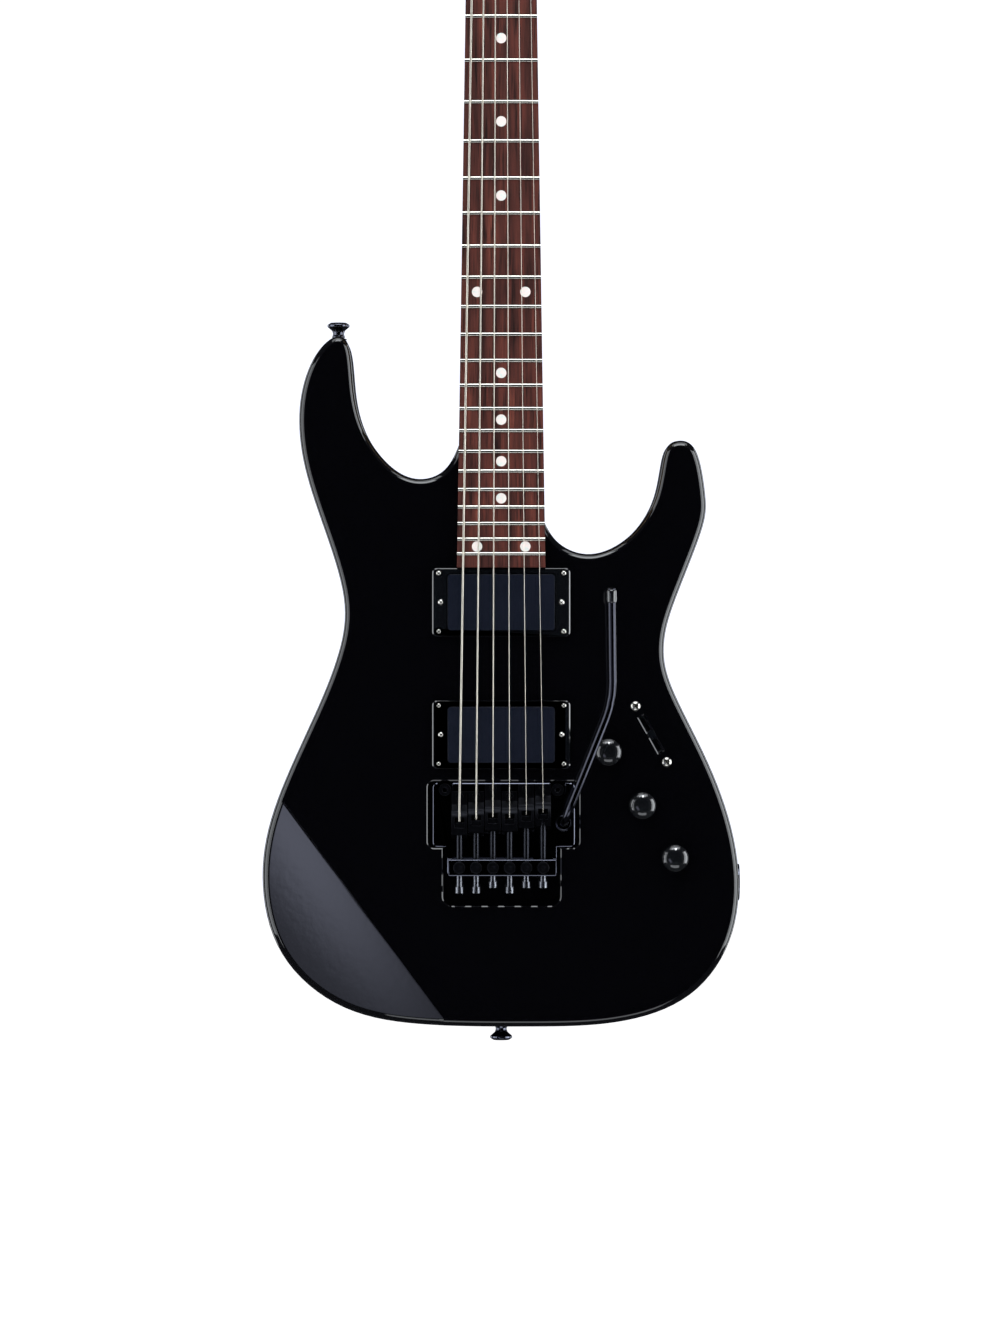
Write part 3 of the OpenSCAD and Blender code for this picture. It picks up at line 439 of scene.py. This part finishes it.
def oxide_with_painted_highlight(looks):
    # Black oxide on the lock screws' shanks; their heads are painted lighter grey in patches, a painted
    # highlight.
    mat, place = new_finish("worn black oxide")
    grit = add(mat, "ShaderNodeTexNoise", {"Vector": place, "Scale": per_mm(1.2), "Detail": 4})
    split = add(mat, "ShaderNodeSeparateXYZ", {"Vector": place})
    # Painted highlight: the screw heads at the low end turn lighter grey in patches.
    head = add(mat, "ShaderNodeMapRange",
               {"Value": split.outputs["Z"], "From Min": -0.690, "From Max": -0.696})
    patchy_highlight = add(mat, "ShaderNodeMath", {0: head.outputs[0], 1: grit.outputs[0]}, operation="MULTIPLY")
    tone = add(mat, "ShaderNodeValToRGB", {"Fac": patchy_highlight.outputs[0]},
               stops=[(0.0, looks.black_steel), (0.35, "#5c5e64"), (0.7, "#7b7d83")])
    rough = add(mat, "ShaderNodeMapRange", {"Value": grit.outputs[0], "To Min": 0.20, "To Max": 0.38})
    close_finish(mat, Base_Color=tone.outputs[0], Metallic=1.0, Roughness=rough.outputs[0])


def make_finishes(looks):
    polyester_lacquer(looks)
    rosewood(looks)
    satin_maple(looks)
    pearl(looks)
    wound_steel(looks)
    # Nickel silver fret wire, polished across the board by levelling.
    metal("polished nickel silver", looks.nickel_silver, 0.12, 0.22, 0.8,
          stretch=(0.1, 1, 1))
    # Black chrome: smoky mirror, dark face on and pale at rounded edges.
    metal("black chrome", looks.black_chrome, 0.08, 0.13, 3, 0.01)
    # The same plating, darker, on the bent bar of the arm.
    metal("dark chrome bar", "#3b3c44", 0.06, 0.10, 3, 0.01)
    # Black oxide on machined steel: soft satin black with grey corners.
    metal("black oxide steel", looks.black_steel, 0.28, 0.42, 1.5, 0.05)
    # The same oxide on the lock screws, with a painted highlight of lighter grey on their heads.
    oxide_with_painted_highlight(looks)
    # Zinc-plated pressings and castings: dull bluish white metal.
    metal("zinc plate", "#a9adb1", 0.28, 0.45, 2, 0.06)
    # Bright nickel on screws: a warm mirror.
    metal("bright nickel", looks.bright_nickel, 0.12, 0.24, 1.2)
    # Drawn music wire: thin and bright.
    metal("music wire", looks.steel, 0.30, 0.38, 0.6)
    # Satin ABS pickup covers: blue-black with a soft sheen.
    plastic("satin pickup ABS", looks.pickup, 0.20, 0.26, 0.5, 0.02)
    # Moulded ABS rings: black with a clear, buffed skin that lights up along the edges.
    plastic("moulded ring ABS", "#060709", 0.08, 0.14, 0.6, 0.01, 1.0)
    # Gloss-moulded phenolic knobs: near black, with a bright crescent either side.
    plastic("gloss knob plastic", looks.knob, 0.10, 0.14, 1.0, 0.01, 0.6)
    # Leather-grain ABS sheet of the rear covers: dull grey-black.
    plastic("grained cover ABS", "#101114", 0.42, 0.56, 0.7, 0.35)
    # Painted steel can of the battery: dark blue-grey with a low gloss.
    plastic("enamelled battery can", "#2a3038", 0.30, 0.42, 1.0, 0.04)
    # Filled dot of white enamel paint: a small matt white mark.
    plastic("white enamel dot", "#e8e9ea", 0.35, 0.45, 0.6, 0.02)


def show_node(node, finish):
    """Keeps the CAD part's own shape, with its real finish."""
    NODES[node].data.materials.clear()
    NODES[node].data.materials.append(bpy.data.materials[finish])


# ---- Settings ----
class GuitarLooks(bpy.types.PropertyGroup):
    lacquer: StringProperty(name="Lacquer", description="Body colour, sRGB hex", default="#020203")
    rosewood: StringProperty(
        name="Rosewood", description="Main fretboard brown, sRGB hex", default="#2f120d")
    maple: StringProperty(name="Maple", description="Main neck colour, sRGB hex", default="#d0a873")
    pearl: StringProperty(name="Pearl", description="Main inlay colour, sRGB hex", default="#b0afa9")
    nickel_silver: StringProperty(name="Fret wire", description="Fret colour, sRGB hex", default="#cfccc4")
    black_chrome: StringProperty(
        name="Black chrome", description="Bridge plating, sRGB hex", default="#595b66")
    black_steel: StringProperty(name="Black steel", description="Oxided steel, sRGB hex", default="#2c2d32")
    bright_nickel: StringProperty(
        name="Bright nickel", description="Screw plating, sRGB hex", default="#cfccc6")
    steel: StringProperty(name="String steel", description="String colour, sRGB hex", default="#ece6d8")
    pickup: StringProperty(name="Pickup cover", description="Cover colour, sRGB hex", default="#0b0e17")
    knob: StringProperty(name="Knob", description="Knob colour, sRGB hex", default="#08090b")


class GuitarSizes(bpy.types.PropertyGroup):
    rim_radius: FloatProperty(
        name="Rim radius", description="Rounding of the body's rim, mm", default=5.0, min=1, max=8)
    pickup_radius: FloatProperty(
        name="Pickup radius", description="Rounding of the pickup covers, mm", default=1.6, min=0.5, max=2)
    spring_turns: FloatProperty(
        name="Spring turns", description="Coils in each tremolo spring", default=42, min=20, max=60)


# ---- Pieces ----
class GUITAR_OT_finishes(bpy.types.Operator):
    """Make every material"""
    bl_idname = "guitar.finishes"
    bl_label = "Finishes"

    def execute(self, context):
        make_finishes(context.scene.guitar_looks)
        return {"FINISHED"}


class GUITAR_OT_body(bpy.types.Operator):
    """Body with its rim rounded over, a crisp forearm contour and eased hollows"""
    bl_idname = "guitar.body"
    bl_label = "Body"

    def execute(self, context):
        bm = cad_copy("body")
        bm.normal_update()
        tree = BVHTree.FromBMesh(bm)

        def is_rim_wall(face):
            """A tall upright face that isn't in the bridge cavities or the neck plate's screw holes."""
            c = face.calc_center_median()
            tall = max(v.co.y for v in face.verts) - min(v.co.y for v in face.verts)
            inside = abs(c.x) < 34 and -700 < c.z < -500 or abs(c.x) < 24 and -490 < c.z < -422
            return abs(face.normal.y) < 0.15 and tall > 8 and not inside and c.y > 8

        def open_both_ways(face):
            """Nothing of the body lies in front of the face or behind it."""
            c = face.calc_center_median() + face.normal * 0.3
            return not any(tree.ray_cast(c, Vector((0, way, 0)))[0] for way in (1, -1))

        def in_open_hollow(co):
            """In the outline of the bridge recess or of the switch slot, on the front face."""
            recess = abs(co.x) < 54 and -735 < co.z < -628
            slot = math.hypot(co.x - SWITCH[0], co.z - SWITCH[1]) < 17
            return co.y < FRONT_EDGE and (recess or slot)

        walls = {f for f in bm.faces if is_rim_wall(f) and open_both_ways(f)}
        rim = [e for e in bm.edges if len(e.link_faces) == 2
               and sum(f in walls for f in e.link_faces) == 1
               and any(abs(f.normal.y) > 0.5 for f in e.link_faces)]
        round_edges(bm, rim, context.scene.guitar_sizes.rim_radius, 6, clamp=False)
        hollow = [e for e in corners(bm, 50) if all(in_open_hollow(v.co) for v in e.verts)]
        round_edges(bm, hollow, 1.0, 2, clamp=False, profile=0.44)
        finish_piece("body_finished", bm, "black polyester lacquer", "guitar", ("body",), 24)
        return {"FINISHED"}


class GUITAR_OT_neck(bpy.types.Operator):
    """Neck and headstock, with the truss rod and its cover"""
    bl_idname = "guitar.neck"
    bl_label = "Neck"

    def execute(self, context):
        softened("neck", "satin maple", 0.8, 2, 55)
        show_node("truss_rod", "zinc plate")
        softened("truss_rod_cover", "moulded ring ABS", 0.5, 2)
        return {"FINISHED"}


class GUITAR_OT_fretboard(bpy.types.Operator):
    """Fretboard, frets and pearl dots"""
    bl_idname = "guitar.fretboard"
    bl_label = "Fretboard"

    def execute(self, context):
        for node, finish in (("fretboard", "oiled rosewood"), ("inlays", "mother of pearl"),
                             ("frets", "polished nickel silver")):
            finish_piece(f"{node}_finished", cad_copy(node, 0.05), finish, "guitar", (node,), 30)
        return {"FINISHED"}


class GUITAR_OT_nut(bpy.types.Operator):
    """Locking nut with its clamps and bolts, and the string retainer bar"""
    bl_idname = "guitar.nut"
    bl_label = "Locking nut"

    def execute(self, context):
        softened("nut_base", "black chrome", 0.3, 2)
        softened("nut_clamps", "black chrome", 0.9, 3)
        softened("nut_clamp_bolts", "black oxide steel", 0.3, 2)
        softened("string_retainer", "black chrome", 0.4, 2)
        return {"FINISHED"}


class GUITAR_OT_tuners(bpy.types.Operator):
    """Six enclosed tuners: housings, bushings, posts with their string wraps, and buttons"""
    bl_idname = "guitar.tuners"
    bl_label = "Tuners"

    def execute(self, context):
        softened("tuner_housings", "black chrome", 0.9, 3)
        softened("tuner_bushings", "black chrome", 0.3, 2)
        for i in range(6):
            at = tuner_frame(i)
            along = at.to_3x3() @ Vector((0, 1, 0))
            r = GAUGES[i] / 2
            bm = bmesh.new()
            turned(bm, POST_PROFILE, at, 40)
            bmesh.ops.remove_doubles(bm, verts=bm.verts, dist=0.001)
            finish_piece(f"tuner_post_{i + 1}_turned", bm, "black oxide steel", f"tuner_post_{i + 1}",
                         (f"tuner_post_{i + 1}",), recalc=True)
            bm = bmesh.new()
            start = at @ Matrix.Translation((WAIST_R + r * 0.7, WRAP_START, 0))
            ring = bmesh.ops.create_circle(bm, cap_ends=False, radius=r * 0.95, segments=8, matrix=start)
            edges = list({e for v in ring["verts"] for e in v.link_edges})
            pitch = 2.1 * r
            turns = min(3, int(3.2 / pitch))
            bmesh.ops.spin(
                bm, geom=ring["verts"] + edges, cent=at @ Vector((0, WRAP_START, 0)), axis=along,
                dvec=along * (pitch / 16), angle=2 * math.pi * turns, steps=16 * turns, use_duplicate=False)
            bmesh.ops.holes_fill(bm, edges=bm.edges, sides=0)
            finish = "nickel wound string" if i < 3 else "music wire"
            finish_piece(f"string_wrap_{i + 1}", bm, finish, f"tuner_post_{i + 1}", recalc=True)
            softened(f"tuner_button_{i + 1}", "black chrome", 1.4, 4)
        return {"FINISHED"}


def rear_recesses(places, top, reach, depth):
    """A cross recess cutter for each screw head on the back, every screw stopped at its own turn."""
    cutters = bmesh.new()
    for x, z in places:
        at = Matrix.Translation((x, top, z)) @ Matrix.Rotation(math.pi, 4, "X")
        cross_cutter(cutters, at @ Matrix.Rotation(0.4 + 0.7 * x, 4, "Y"), reach, depth)
    return cutters


class GUITAR_OT_pickups(bpy.types.Operator):
    """Two covered humbuckers in their mounting rings"""
    bl_idname = "guitar.pickups"
    bl_label = "Pickups"

    def execute(self, context):
        radius = context.scene.guitar_sizes.pickup_radius
        softened("pickup_rings", "moulded ring ABS", 0.7, 1, clamp=False)
        softened("pickup_neck", "satin pickup ABS", radius, 4, 50)
        softened("pickup_bridge", "satin pickup ABS", radius, 4, 50)
        heads, cutters = bmesh.new(), bmesh.new()
        for z in PICKUP_Z:
            for side, row in ((side, row) for side in (-1, 1) for row in (-1, 0, 1)):
                x, top = (RING_SCREW[0], -3.9) if row else (HEIGHT_SCREW_X, -4.8)
                at = Matrix.Translation((side * x, top, z + RING_SCREW[1] * row))
                turned(heads, RING_SCREW_PROFILE, at, 28)
                cross_cutter(cutters, at @ Matrix.Rotation(0.5 + 0.6 * side + row, 4, "Y"), 1.2, 0.6, 0.6)
        bmesh.ops.remove_doubles(heads, verts=heads.verts, dist=0.001)
        finish_piece("pickup_screws_domed", carve(heads, cutters), "bright nickel", "guitar",
                     ("pickup_screws",))
        return {"FINISHED"}


class GUITAR_OT_tremolo(bpy.types.Operator):
    """Recessed double-locking tremolo: plate, block, saddles, screws and studs"""
    bl_idname = "guitar.tremolo"
    bl_label = "Tremolo"

    def execute(self, context):
        softened("tremolo_baseplate", "black chrome", 0.55, 2, profile=0.44, sharp_deg=24,
                 clamp=False)
        softened("tremolo_block", "zinc plate", 0.6, 2)
        softened("saddles", "black oxide steel", 0.35, 1)
        softened("string_clamp_blocks", "black oxide steel", 0.25, 1)
        softened("string_lock_screws", "worn black oxide", 0.35, 2)
        softened("saddle_screws", "black oxide steel", 0.3, 2)
        softened("tremolo_studs", "black oxide steel", 0.3, 2)
        softened("arm_collar", "black chrome", 0.4, 2)
        for i in range(6):
            bm = bmesh.new()
            turned(bm, FINE_TUNER_PROFILE, Matrix.Translation((BRIDGE_X[i], 0, FINE_TUNER_Z)), 36)
            bmesh.ops.remove_doubles(bm, verts=bm.verts, dist=0.001)
            bmesh.ops.recalc_face_normals(bm, faces=bm.faces)

            def bearing(face):
                c = face.calc_center_median()
                return math.atan2(c.z - FINE_TUNER_Z, c.x - BRIDGE_X[i])

            knurl = [f for f in bm.faces if abs(f.normal.y) < 0.1
                     and -17.9 < f.calc_center_median().y < -13.6 and f.calc_area() > 1.5]
            knurl.sort(key=bearing)
            bmesh.ops.inset_individual(bm, faces=knurl[::2], thickness=0.12, depth=-0.28)
            finish_piece(f"fine_tuner_{i + 1}_knurled", bm, "black oxide steel", f"fine_tuner_{i + 1}",
                         (f"fine_tuner_{i + 1}",), recalc=True)
        return {"FINISHED"}


class GUITAR_OT_arm(bpy.types.Operator):
    """Bent tremolo arm with its moulded tip"""
    bl_idname = "guitar.arm"
    bl_label = "Tremolo arm"

    def execute(self, context):
        path = rounded_path(ARM_LINE, 14, 10)
        bm = bmesh.new()
        tube(bm, path, 2.6, 20)
        finish_piece("arm_bar", bm, "dark chrome bar", "arm", ("tremolo_arm",), recalc=True)
        end, bend = Vector(ARM_LINE[3]), Vector(ARM_LINE[2])
        axis = (bend - end).normalized()
        at = Matrix.Translation(end) @ axis.to_track_quat("Y", "Z").to_matrix().to_4x4()
        bm = bmesh.new()
        turned(bm, ARM_TIP_PROFILE, at, 32)
        bmesh.ops.remove_doubles(bm, verts=bm.verts, dist=0.001)
        finish_piece("arm_tip", bm, "moulded ring ABS", "arm", recalc=True)
        return {"FINISHED"}


class GUITAR_OT_springs(bpy.types.Operator):
    """Three coiled tremolo springs between the block and the claw"""
    bl_idname = "guitar.springs"
    bl_label = "Springs"

    def execute(self, context):
        turns = int(context.scene.guitar_sizes.spring_turns)
        steps = turns * 12
        y, (low, high), coil, wire = SPRING_AXIS, SPRING_COIL, 3.4, 0.5
        bm = bmesh.new()
        for x in SPRING_X:
            start = Matrix.Translation((x + coil, y, low)) @ Matrix.Rotation(math.pi / 2, 4, "X")
            ring = bmesh.ops.create_circle(bm, cap_ends=False, radius=wire, segments=6, matrix=start)
            edges = list({e for v in ring["verts"] for e in v.link_edges})
            bmesh.ops.spin(
                bm, geom=ring["verts"] + edges, cent=(x, y, low), axis=(0, 0, 1),
                dvec=(0, 0, (high - low) / steps), angle=2 * math.pi * turns, steps=steps,
                use_duplicate=False)
            bmesh.ops.holes_fill(bm, edges=bm.edges, sides=0)
            for end, inner, hook in ((low, low - 1, -646.2), (high, high + 1, -556.5)):
                path = rounded_path([(x + coil, y, end), (x, y, inner), (x, y, hook)], 0.9, 3)
                tube(bm, path, wire, 6)
        springs = finish_piece("tremolo_springs_coiled", bm, "zinc plate", None, ("tremolo_springs",),
                               60, weighted=False, recalc=True)
        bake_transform(springs)
        softened("spring_claw", "zinc plate", 0.4, 2)
        return {"FINISHED"}


class GUITAR_OT_controls(bpy.types.Operator):
    """Knobs with their marker dots, blade switch, pots, jack and battery"""
    bl_idname = "guitar.controls"
    bl_label = "Controls"

    def execute(self, context):
        for k, (x, z) in enumerate(KNOBS):
            name = f"knob_{k + 1}"
            at = Matrix.Translation((x, 0, z))
            bm = bmesh.new()
            turned(bm, KNOB_SKIRT + [(r, KNOB_TOP + y) for r, y in KNOB_DOME], at, 72)
            bmesh.ops.remove_doubles(bm, verts=bm.verts, dist=0.001)
            finish_piece(f"{name}_moulded", bm, "gloss knob plastic", name, (name,), recalc=True)
            bm = bmesh.new()
            lean = Matrix.Rotation(math.radians(-27), 4, "X")
            on_slope = at @ Matrix.Translation((0, KNOB_TOP + 0.72, 6.3)) @ lean
            turned(bm, [(0, 0.7), (0.6, 0.7), (0.65, 0), (0.5, -0.08), (0, -0.1)], on_slope, 20)
            bmesh.ops.remove_doubles(bm, verts=bm.verts, dist=0.001)
            finish_piece(f"{name}_dot", bm, "white enamel dot", name, recalc=True)
        bm = cad_copy("switch_body")
        cut = bmesh.ops.bisect_plane(
            bm, geom=bm.verts[:] + bm.edges[:] + bm.faces[:], dist=0.001,
            plane_co=(0, 5.5, 0), plane_no=(0, -1, 0), clear_outer=True)
        open_edges = [e for e in cut["geom_cut"] if isinstance(e, bmesh.types.BMEdge)]
        bmesh.ops.holes_fill(bm, edges=open_edges, sides=0)
        finish_piece("switch_frame", bm, "zinc plate", "guitar", ("switch_body",))
        heads, cutters = bmesh.new(), bmesh.new()
        for s in (-21, 21):
            at = SWITCH_FRAME @ Matrix.Translation((0, 0, s))
            turned(heads, SWITCH_SCREW_PROFILE, at, 32)
            crown = at @ Matrix.Translation((0, SWITCH_SCREW_PROFILE[-1][1], 0))
            cross_cutter(cutters, crown @ Matrix.Rotation(0.7, 4, "Y"), 1.9, 0.9)
        bmesh.ops.remove_doubles(heads, verts=heads.verts, dist=0.001)
        finish_piece("switch_screws", carve(heads, cutters), "bright nickel", "guitar", ("switch_body",))
        softened("switch_lever", "moulded ring ABS", 0.5, 2)
        softened("output_jack", "black chrome", 0.4, 2)
        show_node("potentiometers", "zinc plate")
        show_node("battery", "enamelled battery can")
        return {"FINISHED"}


class GUITAR_OT_back(bpy.types.Operator):
    """Rear covers, neck plate, their screws and the strap buttons"""
    bl_idname = "guitar.back"
    bl_label = "Back and strap buttons"

    def execute(self, context):
        softened("control_cover", "grained cover ABS", 0.5, 2)
        softened("spring_cover", "grained cover ABS", 0.5, 2)
        cutters = rear_recesses(PLATE_SCREWS, BACK + 3.4, 2.3, 1.1)
        softened("neck_plate", "black chrome", 0.6, 3, 50, cutters=cutters)
        cutters = rear_recesses(CONTROL_SCREWS + SPRING_SCREWS, BACK + 3.2, 1.6, 0.8)
        softened("small_screws", "black oxide steel", 0.4, 2, 50, cutters=cutters)
        softened("strap_buttons", "black chrome", 0.35, 2)
        return {"FINISHED"}


def string_points(i):
    """One string's line from its clamp over the saddle's nose and the nut to its post."""
    r = GAUGES[i] / 2

    def drop(x):
        """How far the crowned rest falls away at x."""
        return CROWN - math.sqrt(CROWN ** 2 - x ** 2)

    nut = Vector((NUT_X[i], -7.5 + drop(NUT_X[i]) - r, 0))
    nose = Vector((BRIDGE_X[i], -9.8 + drop(BRIDGE_X[i]) - r, NOSE_Z[i]))
    post = HEAD_FRAME @ Vector((NUT_X[i], -5.7, POSTS[i][1]))
    under = HEAD_FRAME @ Vector((NUT_X[i], -5.95 + r, 10))
    run = [nose.lerp(nut, (z - NOSE_Z[i]) / -NOSE_Z[i]) for z in range(-645, -595, 5)]
    clamp, behind_nut = nose + Vector((0, 1.3, -5.2)), Vector((NUT_X[i], -6.5 - r / 2, 13))
    return [clamp, nose] + run + [nut, behind_nut, under, post]


class GUITAR_OT_strings(bpy.types.Operator):
    """Three wound and three plain strings"""
    bl_idname = "guitar.strings"
    bl_label = "Strings"

    def execute(self, context):
        for name, which, finish in (("strings_wound", (0, 1, 2), "nickel wound string"),
                                    ("strings_plain", (3, 4, 5), "music wire")):
            bm = bmesh.new()
            for i in which:
                tube(bm, string_points(i), GAUGES[i] / 2, 10)
            piece = finish_piece(name, bm, finish, None, ("strings",), 60, weighted=False, recalc=True)
            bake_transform(piece)
        return {"FINISHED"}


def studio_sheet(name, bm, mat, mirror_only=True):
    """A sheet of the studio that shows only in reflections, or only outside them."""
    mesh = bpy.data.meshes.new(name)
    bm.to_mesh(mesh)
    bm.free()
    mesh.materials.append(mat)
    sheet = bpy.data.objects.new(name, mesh)
    bpy.context.scene.collection.objects.link(sheet)
    if mirror_only:
        sheet.visible_camera = False
        sheet.visible_diffuse = False
        sheet.visible_shadow = False
    else:
        sheet.visible_glossy = False
    return sheet


def graded_reflector():
    """A material that shines brightest round one spot of its sheet."""
    mat = new_material("graded reflector")
    place = add(mat, "ShaderNodeTexCoord").outputs["Object"]
    spread = add(mat, "ShaderNodeMapping", {
        "Vector": place, "Location": (0.14, 0.23, 0), "Scale": (13.7, 3.8, 1)})
    far = add(mat, "ShaderNodeVectorMath", {0: spread.outputs[0]}, operation="LENGTH")
    glow = add(mat, "ShaderNodeMapRange", {
        "Value": far.outputs["Value"], "From Min": 0.0, "From Max": 1.0, "To Min": 2.1, "To Max": 0.55},
        interpolation_type="SMOOTHSTEP")
    shine = add(mat, "ShaderNodeEmission", {"Color": (0.88, 0.93, 1.2, 1), "Strength": glow.outputs[0]})
    add(mat, "ShaderNodeOutputMaterial", {"Surface": shine.outputs[0]})
    return mat


class GUITAR_OT_studio(bpy.types.Operator):
    """Pale floor, soft white surround, a dark card that keeps the gloss black, and the camera"""
    bl_idname = "guitar.studio"
    bl_label = "Studio"

    def execute(self, context):
        scene = context.scene
        scene.view_settings.view_transform = "Standard"
        world = bpy.data.worlds.new("soft white tent")
        world.use_nodes = True
        tree = world.node_tree
        glow = tree.nodes["Background"]
        glow.inputs["Color"].default_value = (0.95, 0.98, 1.10, 1)
        # The paper behind the guitar is lit to full white; the light it throws back is softer.
        seen = tree.nodes.new("ShaderNodeLightPath")
        level = tree.nodes.new("ShaderNodeMapRange")
        level.inputs["To Min"].default_value = 0.06
        level.inputs["To Max"].default_value = 1.15
        tree.links.new(seen.outputs["Is Camera Ray"], level.inputs["Value"])
        tree.links.new(level.outputs[0], glow.inputs["Strength"])
        scene.world = world
        mat = bpy.data.materials.new("white paper")
        mat.use_nodes = True
        shader = mat.node_tree.nodes["Principled BSDF"]
        shader.inputs["Base Color"].default_value = (0.93, 0.93, 0.93, 1)
        shader.inputs["Roughness"].default_value = 0.9
        shader.inputs["Emission Color"].default_value = (1, 1, 1, 1)
        shader.inputs["Emission Strength"].default_value = 1.0
        bm = bmesh.new()
        bmesh.ops.create_grid(
            bm, x_segments=8, y_segments=8, size=9, matrix=Matrix.Translation((0, 0, -1.2)))
        studio_sheet("studio_floor", bm, mat, mirror_only=False)
        mat = bpy.data.materials.new("black velvet card")
        mat.use_nodes = True
        shader = mat.node_tree.nodes["Principled BSDF"]
        shader.inputs["Base Color"].default_value = (0.001, 0.001, 0.001, 1)
        shader.inputs["Roughness"].default_value = 1.0
        shader.inputs["Specular IOR Level"].default_value = 0.0
        bm = bmesh.new()
        bmesh.ops.create_grid(bm, x_segments=1, y_segments=1, size=1)
        bmesh.ops.scale(bm, vec=(2.40, 2.00, 1), verts=bm.verts)
        upright = Matrix.Rotation(math.pi / 2, 3, "X")
        bmesh.ops.rotate(bm, cent=(0, 0, 0), matrix=upright, verts=bm.verts)
        bmesh.ops.translate(bm, vec=(0, -3.6, -0.28), verts=bm.verts)
        studio_sheet("dark_card", bm, mat)
        # Tall strips either side draw the bright edge lines; a broad fill lights the matt parts only.
        for name, place, aim, size, watts, glossy in (
                ("left_strip", (-1.9, -0.35, -0.5), (0, 0, -0.5), (1.2, 2.2), 24, True),
                ("left_rear_strip", (-1.7, 1.3, -0.5), (0, 0, -0.5), (0.5, 2.2), 10, True),
                ("right_strip", (1.9, -0.35, -0.5), (0, 0, -0.5), (1.2, 2.2), 42, True),
                ("right_rear_strip", (1.7, 1.3, -0.5), (0, 0, -0.5), (0.5, 2.2), 16, True),
                ("top_softbox", (0, -1.3, 1.5), (0, 0, -0.4), (1.6, 1.0), 30, True),
                ("left_edge_strip", (-2.3, -1.75, -0.5), (0, 0, -0.5), (0.4, 3.2), 13, True),
                ("right_edge_strip", (2.3, -1.75, -0.5), (0, 0, -0.5), (0.4, 3.2), 22, True),
                ("overhead_strip", (0, -0.4, 1.3), (0, 0, -0.5), (2.2, 1.2), 22, True),
                ("low_softbox", (0, -1.5, -2.3), (0, 0, -0.6), (1.6, 0.8), 8, True),
                ("broad_fill", (-0.9, -2.6, 0.7), (0, 0, -0.5), (2.4, 2.4), 85, False)):
            lamp = bpy.data.lights.new(name, "AREA")
            lamp.shape = "RECTANGLE"
            lamp.size, lamp.size_y = size
            lamp.energy = watts
            lamp.color = (0.92, 0.96, 1.0)
            lit = bpy.data.objects.new(name, lamp)
            lit.location = place
            lit.rotation_euler = (Vector(aim) - Vector(place)).to_track_quat("-Z", "Y").to_euler()
            lit.visible_camera = False
            lit.visible_glossy = glossy
            scene.collection.objects.link(lit)
        # A graded reflector that shines in the forearm contour, brightest at the crease's upper end.
        crease, away = Vector((0.551, 0, -0.835)), Vector((-0.835, -0.10, -0.551)).normalized()
        facing = away.cross(crease).normalized()
        turn = Matrix((away, crease, facing)).transposed().to_4x4()
        bm = bmesh.new()
        bmesh.ops.create_grid(bm, x_segments=1, y_segments=1, size=0.5)
        bmesh.ops.scale(bm, vec=(0.4, 0.62, 1), verts=bm.verts)
        panel = studio_sheet("contour_reflector", bm, graded_reflector())
        panel.matrix_world = Matrix.Translation((-0.564, -1.377, -1.062)) @ turn
        camera = bpy.data.objects.new("camera", bpy.data.cameras.new("camera"))
        camera.data.lens = 135
        camera.location = (-0.0008, -3.2475, -0.5553)
        camera.rotation_euler = (math.pi / 2, 0, 0)
        scene.collection.objects.link(camera)
        scene.camera = camera
        return {"FINISHED"}


PIECES = (
    GUITAR_OT_studio, GUITAR_OT_finishes, GUITAR_OT_body, GUITAR_OT_neck, GUITAR_OT_fretboard,
    GUITAR_OT_nut, GUITAR_OT_tuners, GUITAR_OT_pickups, GUITAR_OT_tremolo, GUITAR_OT_arm,
    GUITAR_OT_springs, GUITAR_OT_controls, GUITAR_OT_back, GUITAR_OT_strings,
)


class GUITAR_PT_panel(bpy.types.Panel):
    """The guitar's settings and the pieces they make"""
    bl_idname = "GUITAR_PT_panel"
    bl_label = "Guitar"
    bl_space_type = "VIEW_3D"
    bl_region_type = "UI"
    bl_category = "Guitar"

    def draw(self, context):
        for group in (context.scene.guitar_looks, context.scene.guitar_sizes):
            for name in group.__annotations__:
                self.layout.prop(group, name)
        for piece in PIECES:
            self.layout.operator(piece.bl_idname)


CLASSES = (GuitarLooks, GuitarSizes) + PIECES + (GUITAR_PT_panel,)


def register():
    for cls in CLASSES:
        bpy.utils.register_class(cls)
    bpy.types.Scene.guitar_looks = PointerProperty(type=GuitarLooks)
    bpy.types.Scene.guitar_sizes = PointerProperty(type=GuitarSizes)


def unregister():
    del bpy.types.Scene.guitar_sizes
    del bpy.types.Scene.guitar_looks
    for cls in reversed(CLASSES):
        bpy.utils.unregister_class(cls)


def main():
    register()
    for piece in PIECES:
        group, name = piece.bl_idname.split(".")
        getattr(getattr(bpy.ops, group), name)()


if __name__ == "__main__":
    main()
